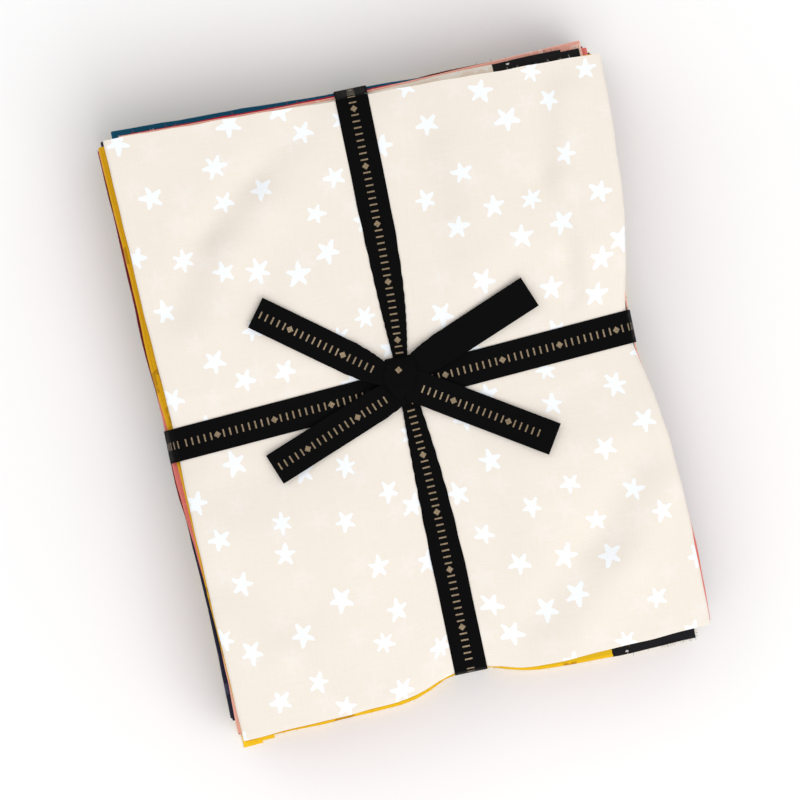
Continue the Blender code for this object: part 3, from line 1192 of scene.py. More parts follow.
    def flat_measure(self, points: Array, share: Array, ply: Array) -> Array:
        """Where each point lies on the flat cut, in metres.

        Args:
            points: the places of the points.
            share: the share from the raw end to the half fold.
            ply: 1 on the first ply and -1 on the second.

        Returns:
            The flat measure as (columns, rows, 2).
        """
        middle = points[:, points.shape[1] // 4]
        steps = np.linalg.norm(np.diff(middle, axis=0), axis=1)
        along = np.concatenate([[0.0], np.cumsum(steps)])
        along = along / along[-1] * self.cut_length
        half = self.cut_width / 2
        length = np.where(ply > 0, share * half, self.cut_width - share * half)
        flat = np.empty(points.shape[:2] + (2,))
        flat[..., 0] = along[:, None]
        flat[..., 1] = length
        return flat

    def build(self, shape: StackShape, base: int) -> bpy.types.Object:
        """Args:
            shape: the stack's shape.
            base: the layer number of its lowest panel.

        Returns:
            The finished piece.
        """
        points, flat = self.surface(shape, base)
        material = self.finish.material()
        sheet = grid_mesh(self.name + "_sheet", points, flat)
        sheet.data.materials.append(material)
        fray = Fraying(self.seed).build(self, sheet, material)
        piece = thickened(sheet, self.ply)
        for made in (piece, fray):
            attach(made, ROOT)
        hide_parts(self.name)
        return piece


@dataclass
class Fraying:
    """Short loose threads along the cut edges of a cotton.

    Attributes:
        seed: what picks this cotton's random lengths and turns.
        length: the length of the longest threads.
        thickness: how thick a thread is.
        inward: how far inside the edge the cloth is read, to find which way is out.
        floor: the lowest that a thread lies.
    """

    seed: int
    length: float = 1.3 * MM
    thickness: float = 0.10 * MM
    inward: float = 2 * MM
    floor: float = 0.03 * MM

    def make_tree(self) -> GeometryTree:
        """A tree that sets bent threads along a line of the flat measure.

        Returns:
            The tree.
        """
        made = GeometryTree("frayed_threads")
        count, start, run, inward, length, radius, seed, material = made.named_inputs({
            "Count": "Int", "Start": "Vector", "Run": "Vector", "Inward": "Vector",
            "Length": "Float", "Radius": "Float", "Seed": "Int", "Material": "Material",
        })
        points = made.add("GeometryNodeMeshLine", {"Count": count}, mode="OFFSET").outputs[0]
        place = made.math("ADD", made.read("Index"), made.chance(-0.5, 0.5, seed))
        place = made.math("MINIMUM", made.math("DIVIDE", place, count), 0.999)
        place = made.math("MAXIMUM", place, 0.001)
        flat = made.vector("ADD", start, made.scaled(run, place))
        edge = made.on_surface(made.read("Position"), flat)
        inner = made.on_surface(made.read("Position"), made.vector("ADD", flat, inward))
        rooted = made.add(
            "GeometryNodeStoreNamedAttribute",
            {"Geometry": points, "Name": "root", "Value": flat},
            data_type="FLOAT_VECTOR",
        ).outputs[0]
        placed = made.add("GeometryNodeInstanceOnPoints", {
            "Points": made.moved(rooted, edge),
            "Instance": self.thread(made, length, radius),
            "Rotation": self.facing(made, made.vector("SUBTRACT", edge, inner), seed),
            "Scale": made.chance(0.25, 1.0, made.math("ADD", seed, 5.0)),
        })
        real = made.add("GeometryNodeRealizeInstances", {0: placed.outputs[0]}).outputs[0]
        above = made.vector("MAXIMUM", made.read("Position"), (-1.0, -1.0, self.floor))
        whole = made.with_flat(made.moved(real, above), made.attribute("root"))
        made.finish(whole, material)
        return made

    def facing(self, made: GeometryTree, outward: Socket, seed: Socket) -> Socket:
        """The turn of a thread: outwards, and swayed by chance.

        Args:
            made: the tree to add to.
            outward: the way out of the cloth.
            seed: what picks the sway.

        Returns:
            The rotation.
        """
        turn = made.add("FunctionNodeAlignRotationToVector", {"Vector": outward}, axis="X")
        sway = made.add(
            "FunctionNodeRandomValue",
            {0: (-0.5, -0.25, -0.8), 1: (0.5, 0.45, 0.8), "Seed": seed},
            data_type="FLOAT_VECTOR",
        )
        spin = made.add("FunctionNodeEulerToRotation", {0: sway.outputs[0]})
        inputs = {0: turn.outputs[0], 1: spin.outputs[0]}
        return made.add("FunctionNodeRotateRotation", inputs, rotation_space="LOCAL").outputs[0]

    def thread(self, made: GeometryTree, length: Socket, radius: Socket) -> Socket:
        """One slightly bent thread along +X, as a thin tube.

        Args:
            made: the tree to add to.
            length: how long it is.
            radius: half its thickness.

        Returns:
            The tube.
        """
        half = made.math("MULTIPLY", length, 0.5)
        middle = made.combined(half, 0.0, made.math("MULTIPLY", length, 0.18))
        line = made.add(
            "GeometryNodeCurveQuadraticBezier",
            {"Resolution": 3, "Start": (0.0, 0.0, 0.0), "Middle": middle,
             "End": made.combined(length)},
        )
        ring = made.add("GeometryNodeCurvePrimitiveCircle", {"Resolution": 4, "Radius": radius})
        return made.add(
            "GeometryNodeCurveToMesh",
            {"Curve": line.outputs[0], "Profile Curve": ring.outputs[0], "Fill Caps": True},
        ).outputs[0]

    def build(
        self, cotton: FoldedCotton, sheet: bpy.types.Object, material: bpy.types.Material
    ) -> bpy.types.Object:
        """Sets the threads along the raw end of both plies and along both free ends.

        Args:
            cotton: the cloth.
            sheet: its middle surface.
            material: its material.

        Returns:
            One mesh of all the threads.
        """
        tree = self.make_tree()
        width, length = cotton.cut_length, cotton.cut_width
        near, step = 0.002 * MM, self.inward
        ply_lines = (((0.0, near, 0.0), step), ((0.0, length - near, 0.0), -step))
        lines = [(90, start, (width, 0.0, 0.0), (0.0, into, 0.0)) for start, into in ply_lines]
        lines.append((80, (near, 0.0, 0.0), (0.0, length, 0.0), (step, 0.0, 0.0)))
        lines.append((80, (width - near, 0.0, 0.0), (0.0, length, 0.0), (-step, 0.0, 0.0)))
        if cotton.finish.selvedge:
            corner = 14 * MM
            for start, into in ply_lines:
                lines.append((26, start, (corner, 0.0, 0.0), (0.0, into, 0.0)))
            for start_y, run_y in ((0.0, corner / 2), (length, -corner / 2)):
                lines.append((14, (near, start_y, 0.0), (0.0, run_y, 0.0), (step, 0.0, 0.0)))
        parts = []
        for key, (count, start, run, inward) in enumerate(lines):
            values = {
                "Count": count, "Start": start, "Run": run, "Inward": inward,
                "Length": self.length, "Radius": self.thickness / 2,
                "Seed": self.seed * 10 + key, "Material": material,
            }
            parts.append(tree.run(sheet, f"{cotton.name}_threads_{key}", values))
        bpy.data.node_groups.remove(tree.tree)
        return joined(parts, cotton.name + "_threads")


def joined(parts: list[bpy.types.Object], name: str) -> bpy.types.Object:
    """Joins meshes into one object.

    Args:
        parts: the objects, which are removed.
        name: the new object's name.

    Returns:
        The joined object.
    """
    whole = bmesh.new()
    for part in parts:
        whole.from_mesh(part.data)
    mesh = bpy.data.meshes.new(name)
    whole.to_mesh(mesh)
    whole.free()
    for material in parts[0].data.materials:
        mesh.materials.append(material)
    for part in parts:
        bpy.data.objects.remove(part, do_unlink=True)
    return new_object(name, mesh)


def cotton(
    colour: str, ground: Rgb, motif: Rgb, selvedge: float = 0.0, through: float = 0.0
) -> PrintedCotton:
    """A printed cotton.

    Args:
        colour: the word for its colour.
        ground: the cloth's colour.
        motif: the stars' colour.
        selvedge: the width of a black selvedge in mm, or 0.
        through: how strongly the print of the ply below shows through.

    Returns:
        The finish, named for its colour.
    """
    return PrintedCotton("print_" + colour, ground, motif, selvedge=selvedge * MM, through=through)


@dataclass
class ClothStack:
    """The ten fat quarters, top one first."""

    shape: StackShape

    def cottons(self) -> list[FoldedCotton]:
        """The table of the cottons.

        A row is the print, the order of the panels, the side of the first free end, how far in the
        free ends lie, the half fold, the ends of the four edge lines, how far out each side stays
        under the ribbon, and what else differs from the usual.

        Returns:
            The cottons, top one first.
        """
        zigzag, letter = FoldOrder.ZIGZAG, FoldOrder.LETTER
        far, near = HalfFold.FAR, HalfFold.NEAR
        rows = (
            (cotton("cream", (0.855, 0.785, 0.704), (0.90, 0.93, 0.96), through=0.15), letter, 1, 4, near,
             (-96.2, -90.7, 96.6, 93.2, 114.8, 109.0, -120.6, -113.2), (0.0, 0.0, 0.0, 0.0), {}),
            (cotton("mustard", (0.72, 0.385, 0.005), (0.50, 0.25, 0.003)), zigzag, -1, 1.2, far,
             (-98.9, -90.9, 93.4, 91.4, 112.6, 109.2, -121.2, -112.4), (0.5, -0.8, -0.9, 0.0),
             {"bulges": ((Side.LEFT, 24, 22, 1.2), (Side.LEFT, -24, 22, -0.9))}),
            (cotton("ivory", (0.90, 0.84, 0.76), (0.95, 0.95, 0.94), 34), zigzag, 1, -0.6, near,
             (-95.0, -90.0, 88.4, 90.6, 112.6, 113.6, -119.0, -112.0), (-1.5, -0.8, -0.3, 0.0),
             {"slip": 7.0, "step_in": 1.7}),
            (cotton("peach", (0.90, 0.44, 0.35), (0.93, 0.60, 0.50)), letter, -1, 4, far,
             (-90.3, -92.4, 90.0, 90.4, 115.9, 115.9, -118.4, -111.6), (-0.8, 0.4, 0.6, 0.0),
             {"far_bow": -2.1}),
            (cotton("coral", (0.76, 0.20, 0.17), (0.84, 0.36, 0.32)), zigzag, 1, 1.5, far,
             (-99.3, -90.9, 92.2, 91.2, 112.2, 112.6, -119.4, -112.4), (0.9, 0.1, -0.5, 0.0),
             {"bulges": ((Side.LEFT, -20, 24, 0.7), (Side.LEFT, 12, 9, 0.7),
                         (Side.RIGHT, -88, 52, 3.3))}),
            (cotton("cherry", (0.58, 0.012, 0.040), (0.60, 0.06, 0.08)), zigzag, -1, 4, near,
             (-90.0, -92.0, 91.6, 90.0, 116.1, 112.0, -118.2, -112.8), (0.0, 0.0, 1.3, 0.0), {}),
            (cotton("teal", (0.003, 0.090, 0.170), (0.010, 0.11, 0.20)), letter, 1, 4, far,
             (-93.4, -91.6, 92.0, 90.8, 118.4, 111.2, -117.6, -111.4), (0.0, 0.0, 2.4, 0.0),
             {"far_bow": 0.5}),
            (cotton("maroon", (0.15, 0.008, 0.012), (0.22, 0.016, 0.02)), zigzag, 1, 2, near,
             (-100.0, -93.0, 91.0, 90.2, 113.4, 114.0, -118.6, -112.2), (1.6, 0.3, -0.5, 0.0),
             {"far_bow": 1.7,
              "bulges": ((Side.LEFT, -72, 36, -1.7), (Side.LEFT, -18, 16, 0.9),
                         (Side.LEFT, 34, 20, 0.9))}),
            (cotton("midnight", (0.012, 0.012, 0.032), (0.05, 0.05, 0.09)), letter, -1, 4, far,
             (-98.2, -94.4, 92.4, 90.6, 115.6, 111.4, -113.0, -111.8), (2.2, 0.0, 0.0, 0.0),
             {"bulges": ((Side.LEFT, -68, 34, -0.7),)}),
            (cotton("sunshine", (0.95, 0.62, 0.015), (0.62, 0.33, 0.01), 34), zigzag, 1, -0.6, far,
             (-97.0, -91.4, 93.0, 87.0, 114.0, 111.0, -122.0, -118.2), (0.0, 0.0, 0.0, 1.4),
             {"bulges": ((Side.NEAR, 22, 22, -1.2),), "slip": -5.0, "step_in": 0.9,
              "tab": 8.0, "tab_out": 4.0 * MM}),
        )
        names = ("left_far", "left_near", "right_far", "right_near",
                 "far_left", "far_right", "near_left", "near_right")
        made = []
        for index, (finish, order, start, free_in, half, lines, outs, more) in enumerate(rows):
            finish = replace(finish, turn=0.45 + 0.7 * index)
            edges = dict(zip(names, lines))
            ties = dict(zip(Side, outs))
            made.append(FoldedCotton(
                finish.name.replace("print", "cloth"), finish, order, start, free_in, edges, half,
                seed=index + 1, fine=index == 0, tie_out=ties, **more,
            ))
        return made

    def build(self) -> None:
        """Builds every cotton from the top down."""
        for index, made in enumerate(self.cottons()):
            piece = made.build(self.shape, self.base(index))
            LOG.info("built %s with %d faces", piece.name, len(piece.data.polygons))

    def base(self, index: int) -> int:
        """The lowest layer of a cotton, counted from the top one."""
        return self.shape.layers - 3 * (index + 1)

    def outermost(self, side: Side) -> Array:
        """The stack's outer face where the band goes down a side.

        Args:
            side: the side.

        Returns:
            The layers and how far out each lies, as the taut line over them.
        """
        away = math.copysign(1.0, self.shape.ties[side].place)
        points = []
        for index, made in enumerate(self.cottons()):
            for layer in range(self.base(index) + 2, self.base(index) - 1, -1):
                out = away * float(self.shape.tied(side, layer)) + made.out(side)
                points.append((float(layer), out))
        hull: list[Pair] = []
        for point in points:
            while len(hull) > 1 and not bends_out(hull[-2], hull[-1], point):
                hull.pop()
            hull.append(point)
        return np.array(hull[::-1]) * (1.0, away)


def bends_out(first: Pair, middle: Pair, last: Pair) -> bool:
    """Whether a taut line from `first` down to `last` touches `middle`."""
    share = (first[0] - middle[0]) / (first[0] - last[0])
    return middle[1] > mix(first[1], last[1], share)


@dataclass(frozen=True)
class FreeEnd:
    """A free end of the ribbon, seen from above, in mm.

    Attributes:
        name: the frame's node that it stands for.
        root: where it leaves the knot.
        tip: the middle of its cut end.
        turn: how far its root is turned, in degrees.
        gather: the share of its width that is gathered at the root.
        lifts: how far it stands off what it lies on, at the root, along the middle and at the tip.
        marks: how many marks it shows; its plain side shows none.
    """

    name: str
    root: Pair
    tip: Pair
    turn: float
    gather: float
    lifts: tuple[float, float, float]
    marks: int = 20


@dataclass
class RibbonTie:
    """The ribbon: its two bands, the knot and the four free ends.

    Attributes:
        shape: the stack's shape.
        stack: the cottons.
        width, thickness: the ribbon's own.
        seat: how far the middle of the ribbon lies off the cloth.
        step: how much higher it lies where it crosses a band.
        rest: the height of the middle of the long band where the stack rests on it.
        pinch_reach: how far from the knot the long band is gathered.
        pinch_shift: how far its middle is drawn to the side there.
        fold_depth: how far its folded-under edges lie below it.
        corner, low_corner: the radii with which a band turns at the top and at the bottom.
        path_steps, rows: how finely the top of a band's path and its width are divided.
        mark_gap, mark_size: the distance between the gold marks, and their size.
        mark_row: the place in the row of marks at which a band or a free end starts.
        free_ends: the four free ends.
        knot_rows: the wrap of the knot from its upper end down, in mm: the x and y of its left
            edge, the x and y of its right edge, and its height over the bands.
    """

    shape: StackShape
    stack: ClothStack
    width: float = 12.7 * MM
    thickness: float = 0.36 * MM
    seat: float = 0.26 * MM
    step: float = 0.46 * MM
    pinch_reach: float = 32 * MM
    pinch_shift: float = -2.7 * MM
    fold_depth: float = 0.5 * MM
    corner: float = 1.5 * MM
    low_corner: float = 1.2 * MM
    rest: float = 0.5 * MM
    path_steps: int = 150
    rows: int = 41
    mark_gap: float = 2.5 * MM
    mark_size: float = 2.9 * MM
    mark_row: float = 4.5
    free_ends: tuple[FreeEnd, ...] = (
        FreeEnd("tail_upper_left", (-8.8, 4.9), (-52.7, 38.7), 8, 0.42, (3.2, 0.9, 2.0)),
        FreeEnd("tail_upper_right", (0.5, 5.4), (51.4, 25.2), 0, 0.40, (2.4, 1.0, 2.2), 0),
        FreeEnd("tail_lower_right", (-1.0, 0.3), (49.3, -31.9), 8, 0.10, (3.4, 0.9, 1.6)),
        FreeEnd("tail_lower_left", (-5.4, -1.9), (-57.7, -21.5), 8, 0.20, (2.2, 1.0, 1.8)),
    )
    knot_rows: tuple[tuple[float, ...], ...] = (
        (-7.6, 11.0, 3.4, 10.9, 0.3),
        (-8.5, 10.4, 3.6, 10.2, 2.6),
        (-9.4, 8.6, 3.7, 8.2, 3.3),
        (-10.7, 5.8, 3.6, 5.2, 3.6),
        (-11.6, 3.2, 2.9, 2.0, 3.7),
        (-9.6, -0.2, 1.3, -1.0, 3.5),
        (-7.4, -3.6, -0.2, -4.2, 3.1),
        (-5.4, -6.4, -1.3, -6.9, 2.5),
        (-4.6, -8.0, -1.8, -8.4, 0.5),
    )

    def __post_init__(self) -> None:
        """Makes the sweep tree and the finishes that all the ribbon shares."""
        self.cloth = WovenRibbon().material()
        self.foil = FoilInk().material()
        self.sweep = self.make_sweep()
        self.marks = self.make_marks()

    def make_sweep(self) -> GeometryTree:
        """A tree that sweeps a ribbon along a path of points.

        Each point has the attributes across, the way to one edge; up, the way to its outer face;
        ahead and behind, the widths that show on the two sides of the middle, past which the
        ribbon is folded under; and run, its distance along the ribbon.

        Returns:
            The tree.
        """
        made = GeometryTree("ribbon_sweep")
        count, rows, depth, width, material = made.named_inputs({
            "Points": "Int", "Rows": "Int", "Fold depth": "Float", "Width": "Float",
            "Material": "Material",
        })
        grid = made.add("GeometryNodeMeshGrid", {"Vertices X": count, "Vertices Y": rows})
        index = made.read("Index")
        step = made.math("FLOOR", made.math("DIVIDE", made.math("ADD", index, 0.5), rows))
        row = made.math("SUBTRACT", index, made.math("MULTIPLY", step, rows))
        share = made.math("DIVIDE", row, made.math("SUBTRACT", rows, 1.0))
        middle = made.at_index(made.read("Position"), step)
        across, up = (made.at_index(made.attribute(name), step) for name in ("across", "up"))
        run, ahead, behind = (
            made.at_index(made.attribute(name, "FLOAT"), step, "FLOAT")
            for name in ("run", "ahead", "behind")
        )
        reach = made.math("MULTIPLY", made.math("SUBTRACT", share, 0.5), width)
        is_ahead = made.math("GREATER_THAN", reach, 0.0)
        room = made.math("MULTIPLY", is_ahead, made.math("SUBTRACT", ahead, behind))
        room = made.math("ADD", behind, room)
        size = made.math("ABSOLUTE", reach)
        beyond = made.math("MAXIMUM", made.math("SUBTRACT", size, room), 0.0)
        back = made.math("MULTIPLY", beyond, 0.9)
        crowd = made.math("ADD", made.math("MULTIPLY", made.math("DIVIDE", back, room), 0.6), 1.0)
        back = made.math("DIVIDE", back, crowd)
        shown = made.math("SUBTRACT", made.math("MINIMUM", size, room), back)
        shown = made.math("MULTIPLY", shown, made.math("SIGN", reach))
        drop = made.math("MINIMUM", made.math("MULTIPLY", beyond, 1.5), depth)
        place = made.vector("ADD", middle, made.scaled(across, shown))
        place = made.vector("SUBTRACT", place, made.scaled(up, drop))
        flat = made.add(
            "GeometryNodeFieldOnDomain",
            {0: made.combined(run, made.math("MULTIPLY", share, width))},
            data_type="FLOAT_VECTOR",
            domain="POINT",
        )
        swept = made.with_flat(made.moved(grid.outputs[0], place), flat.outputs[0])
        made.finish(swept, material)
        return made

    def make_marks(self) -> GeometryTree:
        """A tree that sets plain gold bars and lozenges in a row along a ribbon.

        Returns:
            The tree.
        """
        made = GeometryTree("foil_marks")
        count, start, gap, phase, middle, size, proud, material = made.named_inputs({
            "Count": "Int", "Start": "Float", "Gap": "Float", "Phase": "Float",
            "Middle": "Float", "Size": "Float", "Proud": "Float", "Material": "Material",
        })
        points = made.add("GeometryNodeMeshLine", {"Count": count}, mode="OFFSET").outputs[0]
        index = made.read("Index")
        run = made.math("ADD", start, made.math("MULTIPLY", index, gap))
        flat = made.combined(run, middle)
        here = made.on_surface(made.read("Position"), flat)
        ahead = made.combined(made.math("ADD", run, 0.4 * MM), middle)
        there = made.on_surface(made.read("Position"), ahead)
        normal = made.on_surface(made.read("Normal"), flat)
        turn = made.add(
            "FunctionNodeAxesToRotation",
            {0: normal, 1: made.vector("SUBTRACT", there, here)},
            primary_axis="Z",
            secondary_axis="X",
        )
        circle = {"Vertices": 4, "Radius": 0.48}
        lozenge = made.add("GeometryNodeMeshCircle", circle, fill_type="NGON")
        bar = made.add("GeometryNodeMeshGrid", {0: 0.2, 1: 1.0, 2: 2, 3: 2})
        both = made.add("GeometryNodeGeometryToInstance", {})
        for form in (lozenge, bar):
            made.tree.links.new(form.outputs[0], both.inputs[0])
        in_row = made.math("MODULO", made.math("ADD", index, phase), 9.0)
        placed = made.add("GeometryNodeInstanceOnPoints", {
            "Points": made.moved(points, made.vector("ADD", here, made.scaled(normal, proud))),
            "Instance": both.outputs[0],
            "Pick Instance": True,
            "Instance Index": made.math("LESS_THAN", in_row, 1.0),
            "Rotation": turn.outputs[0],
            "Scale": size,
        })
        made.finish(placed.outputs[0], material)
        return made

    def swept(
        self, name: str, points: Array, across: Array, up: Array, ahead: Array, behind: Array
    ) -> bpy.types.Object:
        """Sweeps an open ribbon along a path.

        Args:
            name: the object's name.
            points: the middle line.
            across: the way to one edge, at each point.
            up: the way to the outer face, at each point.
            ahead: the width that shows on the side of that edge.
            behind: the width that shows on the other side.

        Returns:
            The open ribbon.
        """
        mesh = bpy.data.meshes.new(name + "_path")
        mesh.from_pydata(points, [], [])
        steps = np.linalg.norm(np.diff(points, axis=0), axis=1)
        run = np.concatenate([[0.0], np.cumsum(steps)])
        for key, values in (("across", across), ("up", up)):
            layer = mesh.attributes.new(key, "FLOAT_VECTOR", "POINT")
            layer.data.foreach_set("vector", np.asarray(values, dtype=np.float32).ravel())
        for key, values in (("run", run), ("ahead", ahead), ("behind", behind)):
            layer = mesh.attributes.new(key, "FLOAT", "POINT")
            layer.data.foreach_set("value", np.broadcast_to(values, len(points)).astype(np.float32))
        path = new_object(name + "_path", mesh)
        values = {
            "Points": len(points), "Rows": self.rows, "Fold depth": self.fold_depth,
            "Width": self.width, "Material": self.cloth,
        }
        ribbon = self.sweep.run(path, name, values)
        bpy.data.objects.remove(path, do_unlink=True)
        return ribbon

    def finish(self, ribbon: bpy.types.Object, count: int, start: float, upward: bool) -> None:
        """Prints the marks on a ribbon, thickens it and gives it its place in the frame.

        Args:
            ribbon: the open ribbon.
            count: how many marks it has, or 0 for its plain side.
            start: how far along it the first mark lies.
            upward: whether the printed side is the one that its faces point to.
        """
        made = []
        node = ribbon.name.replace("_cloth", "")
        if count:
            place = (start, self.width / 2)
            made.append(self.printed(ribbon, node + "_marks", count, place, self.mark_row, upward))
        piece = thickened(ribbon, self.thickness)
        for item in [piece] + made:
            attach(item, ROOT)
        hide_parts(node)

    def printed(
        self, ribbon: bpy.types.Object, name: str, count: int, place: Pair, phase: float,
        upward: bool = True,
    ) -> bpy.types.Object:
        """Prints marks on an open ribbon.

        Args:
            ribbon: the open ribbon.
            name: the marks' name.
            count: how many there are.
            place: how far along and how far across the ribbon the first one lies.
            phase: where in the row of nine the first one comes; 0.5 is the lozenge.
            upward: whether the printed side is the one that the ribbon's faces point to.

        Returns:
            The marks, as one mesh.
        """
        side = 1.0 if upward else -1.0
        values = {
            "Count": count, "Start": place[0], "Middle": place[1], "Gap": self.mark_gap,
            "Phase": phase, "Size": self.mark_size,
            "Proud": side * (self.thickness / 2 + 0.02 * MM), "Material": self.foil,
        }
        return self.marks.run(ribbon, name, values)

    def band_path(self, high: Side, low: Side, over: Profile, under: Profile) -> Array:
        """The closed middle line of a band, as (run, height).

        Args:
            high: the side at the band's positive end.
            low: the side at its negative end.
            over: the height of the band on top, at a run.
            under: its height below, at a run.

        Returns:
            The path: over the top, down, under, up again and back to its first point.
        """
        seat = self.seat + 0.2 * MM
        down = self.side_path(high, seat, over, under)
        up = self.side_path(low, -seat, over, under)[::-1]
        runs = np.linspace(up[-1, 0], down[0, 0], self.path_steps)[1:-1]
        top = [(run, over(run)) for run in runs]
        below = [(run, under(run)) for run in np.linspace(down[-1, 0], up[0, 0], 70)[1:-1]]
        path = np.concatenate([top, down, below, up])
        for _ in range(3):
            path = path * 0.5 + (np.roll(path, 1, axis=0) + np.roll(path, -1, axis=0)) * 0.25
        return np.concatenate([path, path[:1]])

    def side_path(self, side: Side, seat: float, over: Profile, under: Profile) -> Array:
        """A band's way down one side of the stack, with its two rounded corners.

        Args:
            side: the side of the stack.
            seat: how far the band lies outside the cloth, with the sign of the side.
            over: the height of the band on top.
            under: its height below.

        Returns:
            The points from the top down.
        """
        last = self.shape.layers - 1
        away = math.copysign(1.0, seat)
        high_x = float(self.shape.tied(side, last)) + seat
        low_x = float(self.shape.tied(side, 0)) + seat
        high_z = over(high_x - away * self.corner)
        low_z = under(low_x)
        points = []
        for turn in np.linspace(0.0, math.pi / 2, 8):
            run = high_x - away * self.corner * (1 - math.sin(turn))
            points.append((run, high_z - self.corner * (1 - math.cos(turn))))
        start, end = high_z - self.corner, low_z + self.low_corner
        wall = self.stack.outermost(side)
        for height in np.linspace(start, end, 40)[1:-1]:
            layer = last * (height - low_z) / (high_z - low_z)
            points.append((np.interp(layer, wall[:, 0], wall[:, 1]) + seat, height))
        for turn in np.linspace(0.0, math.pi / 2, 7):
            run = low_x - away * self.low_corner * (1 - math.cos(turn))
            points.append((run, low_z + self.low_corner * (1 - math.sin(turn))))
        return np.array(points)

    def build_cross_band(self) -> None:
        """The band across the stack: on the cloth above, over the long band's underside below."""
        shape = self.shape

        def over(x: float) -> float:
            """The height of the band on top."""
            return float(shape.top_face(np.array(x), shape.cross_y(np.array(x)))) + self.seat

        def under(x: float) -> float:
            """Its height below, over the long band."""
            groove = 1.0 - float(shape.beside(np.array(x), shape.under_ramp))
            return self.rest + shape.ribbon_step * groove

        path = self.band_path(Side.RIGHT, Side.LEFT, over, under)
        points = np.stack([path[:, 0], shape.cross_y(path[:, 0]), path[:, 1]], axis=-1)
        across = np.tile((0.0, 1.0, 0.0), (len(points), 1))
        half = self.width / 2
        up = np.zeros_like(points)
        ribbon = self.swept("ribbon_cross_band_cloth", points, across, up, half, half)
        self.finish(ribbon, 175, self.mark_gap / 2, self.points_out(ribbon))

    def points_out(self, ribbon: bpy.types.Object) -> bool:
        """Whether the first face of a band, which lies on top, points upwards."""
        return ribbon.data.polygons[len(ribbon.data.polygons) // 8].normal.z > 0

    def build_long_band(self) -> None:
        """The band along the stack: over the cross band above, on the resting surface below."""
        shape = self.shape

        def over(y: float) -> float:
            """The height of the band on top, over the cross band in the middle."""
            bridge = self.step * math.exp(-(y / (9 * MM)) ** 4)
            folded = self.fold_depth * math.exp(-(abs(y) / (30 * MM)) ** 3)
            return float(shape.top_face(np.array(0.0), np.array(y))) + self.seat + bridge + folded

        def under(y: float) -> float:
            """Its height below, which is the same all along."""
            return self.rest

        path = self.band_path(Side.FAR, Side.NEAR, over, under)
        points = np.stack([np.zeros(len(path)), path[:, 0], path[:, 1]], axis=-1)
        upper = path[:, 1] > 30 * MM
        far = path[:, 0] > 0
        narrow = np.where(upper, np.exp(-(np.abs(path[:, 0]) / self.pinch_reach) ** 1.3), 0.0)
        points[:, 0] = self.pinch_shift * narrow
        across = np.tile((-1.0, 0.0, 0.0), (len(points), 1))
        up = np.tile((0.0, 0.0, 1.0), (len(points), 1))
        left = self.width / 2 - narrow * np.where(far, 4.9, 4.2) * MM
        right = self.width / 2 - narrow ** np.where(far, 1.3, 0.8) * np.where(far, 5.1, 3.0) * MM
        right = np.maximum(right, 1.2 * MM)
        ribbon = self.swept("ribbon_long_band_cloth", points, across, up, left, right)
        self.finish(ribbon, 210, self.mark_gap / 2, self.points_out(ribbon))

    def build_free_end(self, end: FreeEnd) -> None:
        """One free end, from inside the knot to its cut end.

        Args:
            end: where it runs and how it lies.
        """
        share = np.linspace(0.0, 1.0, 60)
        run_x, run_y = (end.tip[0] - end.root[0]) * MM, (end.tip[1] - end.root[1]) * MM
        length = math.hypot(run_x, run_y)
        angle = math.atan2(run_y, run_x) + math.radians(end.turn) * (1 - share) ** 3
        half = self.width / 2
        shown = half * (1.0 - end.gather * np.exp(-share * length / (7 * MM)))
        x = end.root[0] * MM + run_x * share
        y = end.root[1] * MM + run_y * share
        side_x, side_y = -np.sin(angle), np.cos(angle)
        folded = self.fold_depth * smooth((half - shown) / (1 * MM))
        root_lift, low_lift, tip_lift = end.lifts
        lift = low_lift + (root_lift - low_lift) * (1 - share) ** 4 + (tip_lift - low_lift) * share ** 5
        one = self.resting(x + side_x * shown, y + side_y * shown)
        other = self.resting(x - side_x * shown, y - side_y * shown)
        middle = np.maximum(one, other) * 0.5 + (one + other) * 0.25 + lift * MM + folded
        points = np.stack([x, y, middle], axis=-1)
        across = np.stack([side_x, side_y, (one - other) / 2 * 0.8 / half], axis=-1)
        up = np.tile((0.0, 0.0, 1.0), (len(points), 1))
        ribbon = self.swept(end.name + "_cloth", points, across, up, shown, shown)
        upward = sum(face.normal.z * face.area for face in ribbon.data.polygons) > 0
        self.finish(ribbon, end.marks, 6 * MM, upward)

    def resting(self, x: Array, y: Array) -> Array:
        """Height of what a free end lies on: the cloth, and the bands that cross it.

        Args:
            x: places across the stack.
            y: places along the stack.

        Returns:
            The heights.
        """
        along = np.abs(y - self.shape.cross_y(x))
        on_cross = smooth((9.5 * MM - along) / (3 * MM))
        on_long = smooth((7.5 * MM - np.abs(x + 1 * MM)) / (3 * MM))
        return self.shape.top_face(x, y) + self.step * np.maximum(on_cross, on_long)

    def build_knot(self) -> None:
        """The knot: a domed wrap drawn in at its lower end, over a folded core."""
        base = float(self.shape.top(np.array(0.0), np.array(0.0))) + self.step * 2
        wrap = self.knot_wrap(base)
        mark = self.printed(wrap, "ribbon_knot_mark", 1, (7.7 * MM, 6.1 * MM), 0.5)
        wrap = thickened(wrap, self.thickness)
        core = self.knot_core(base)
        for item in (wrap, core, mark):
            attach(item, ROOT)
            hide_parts("ribbon_knot")

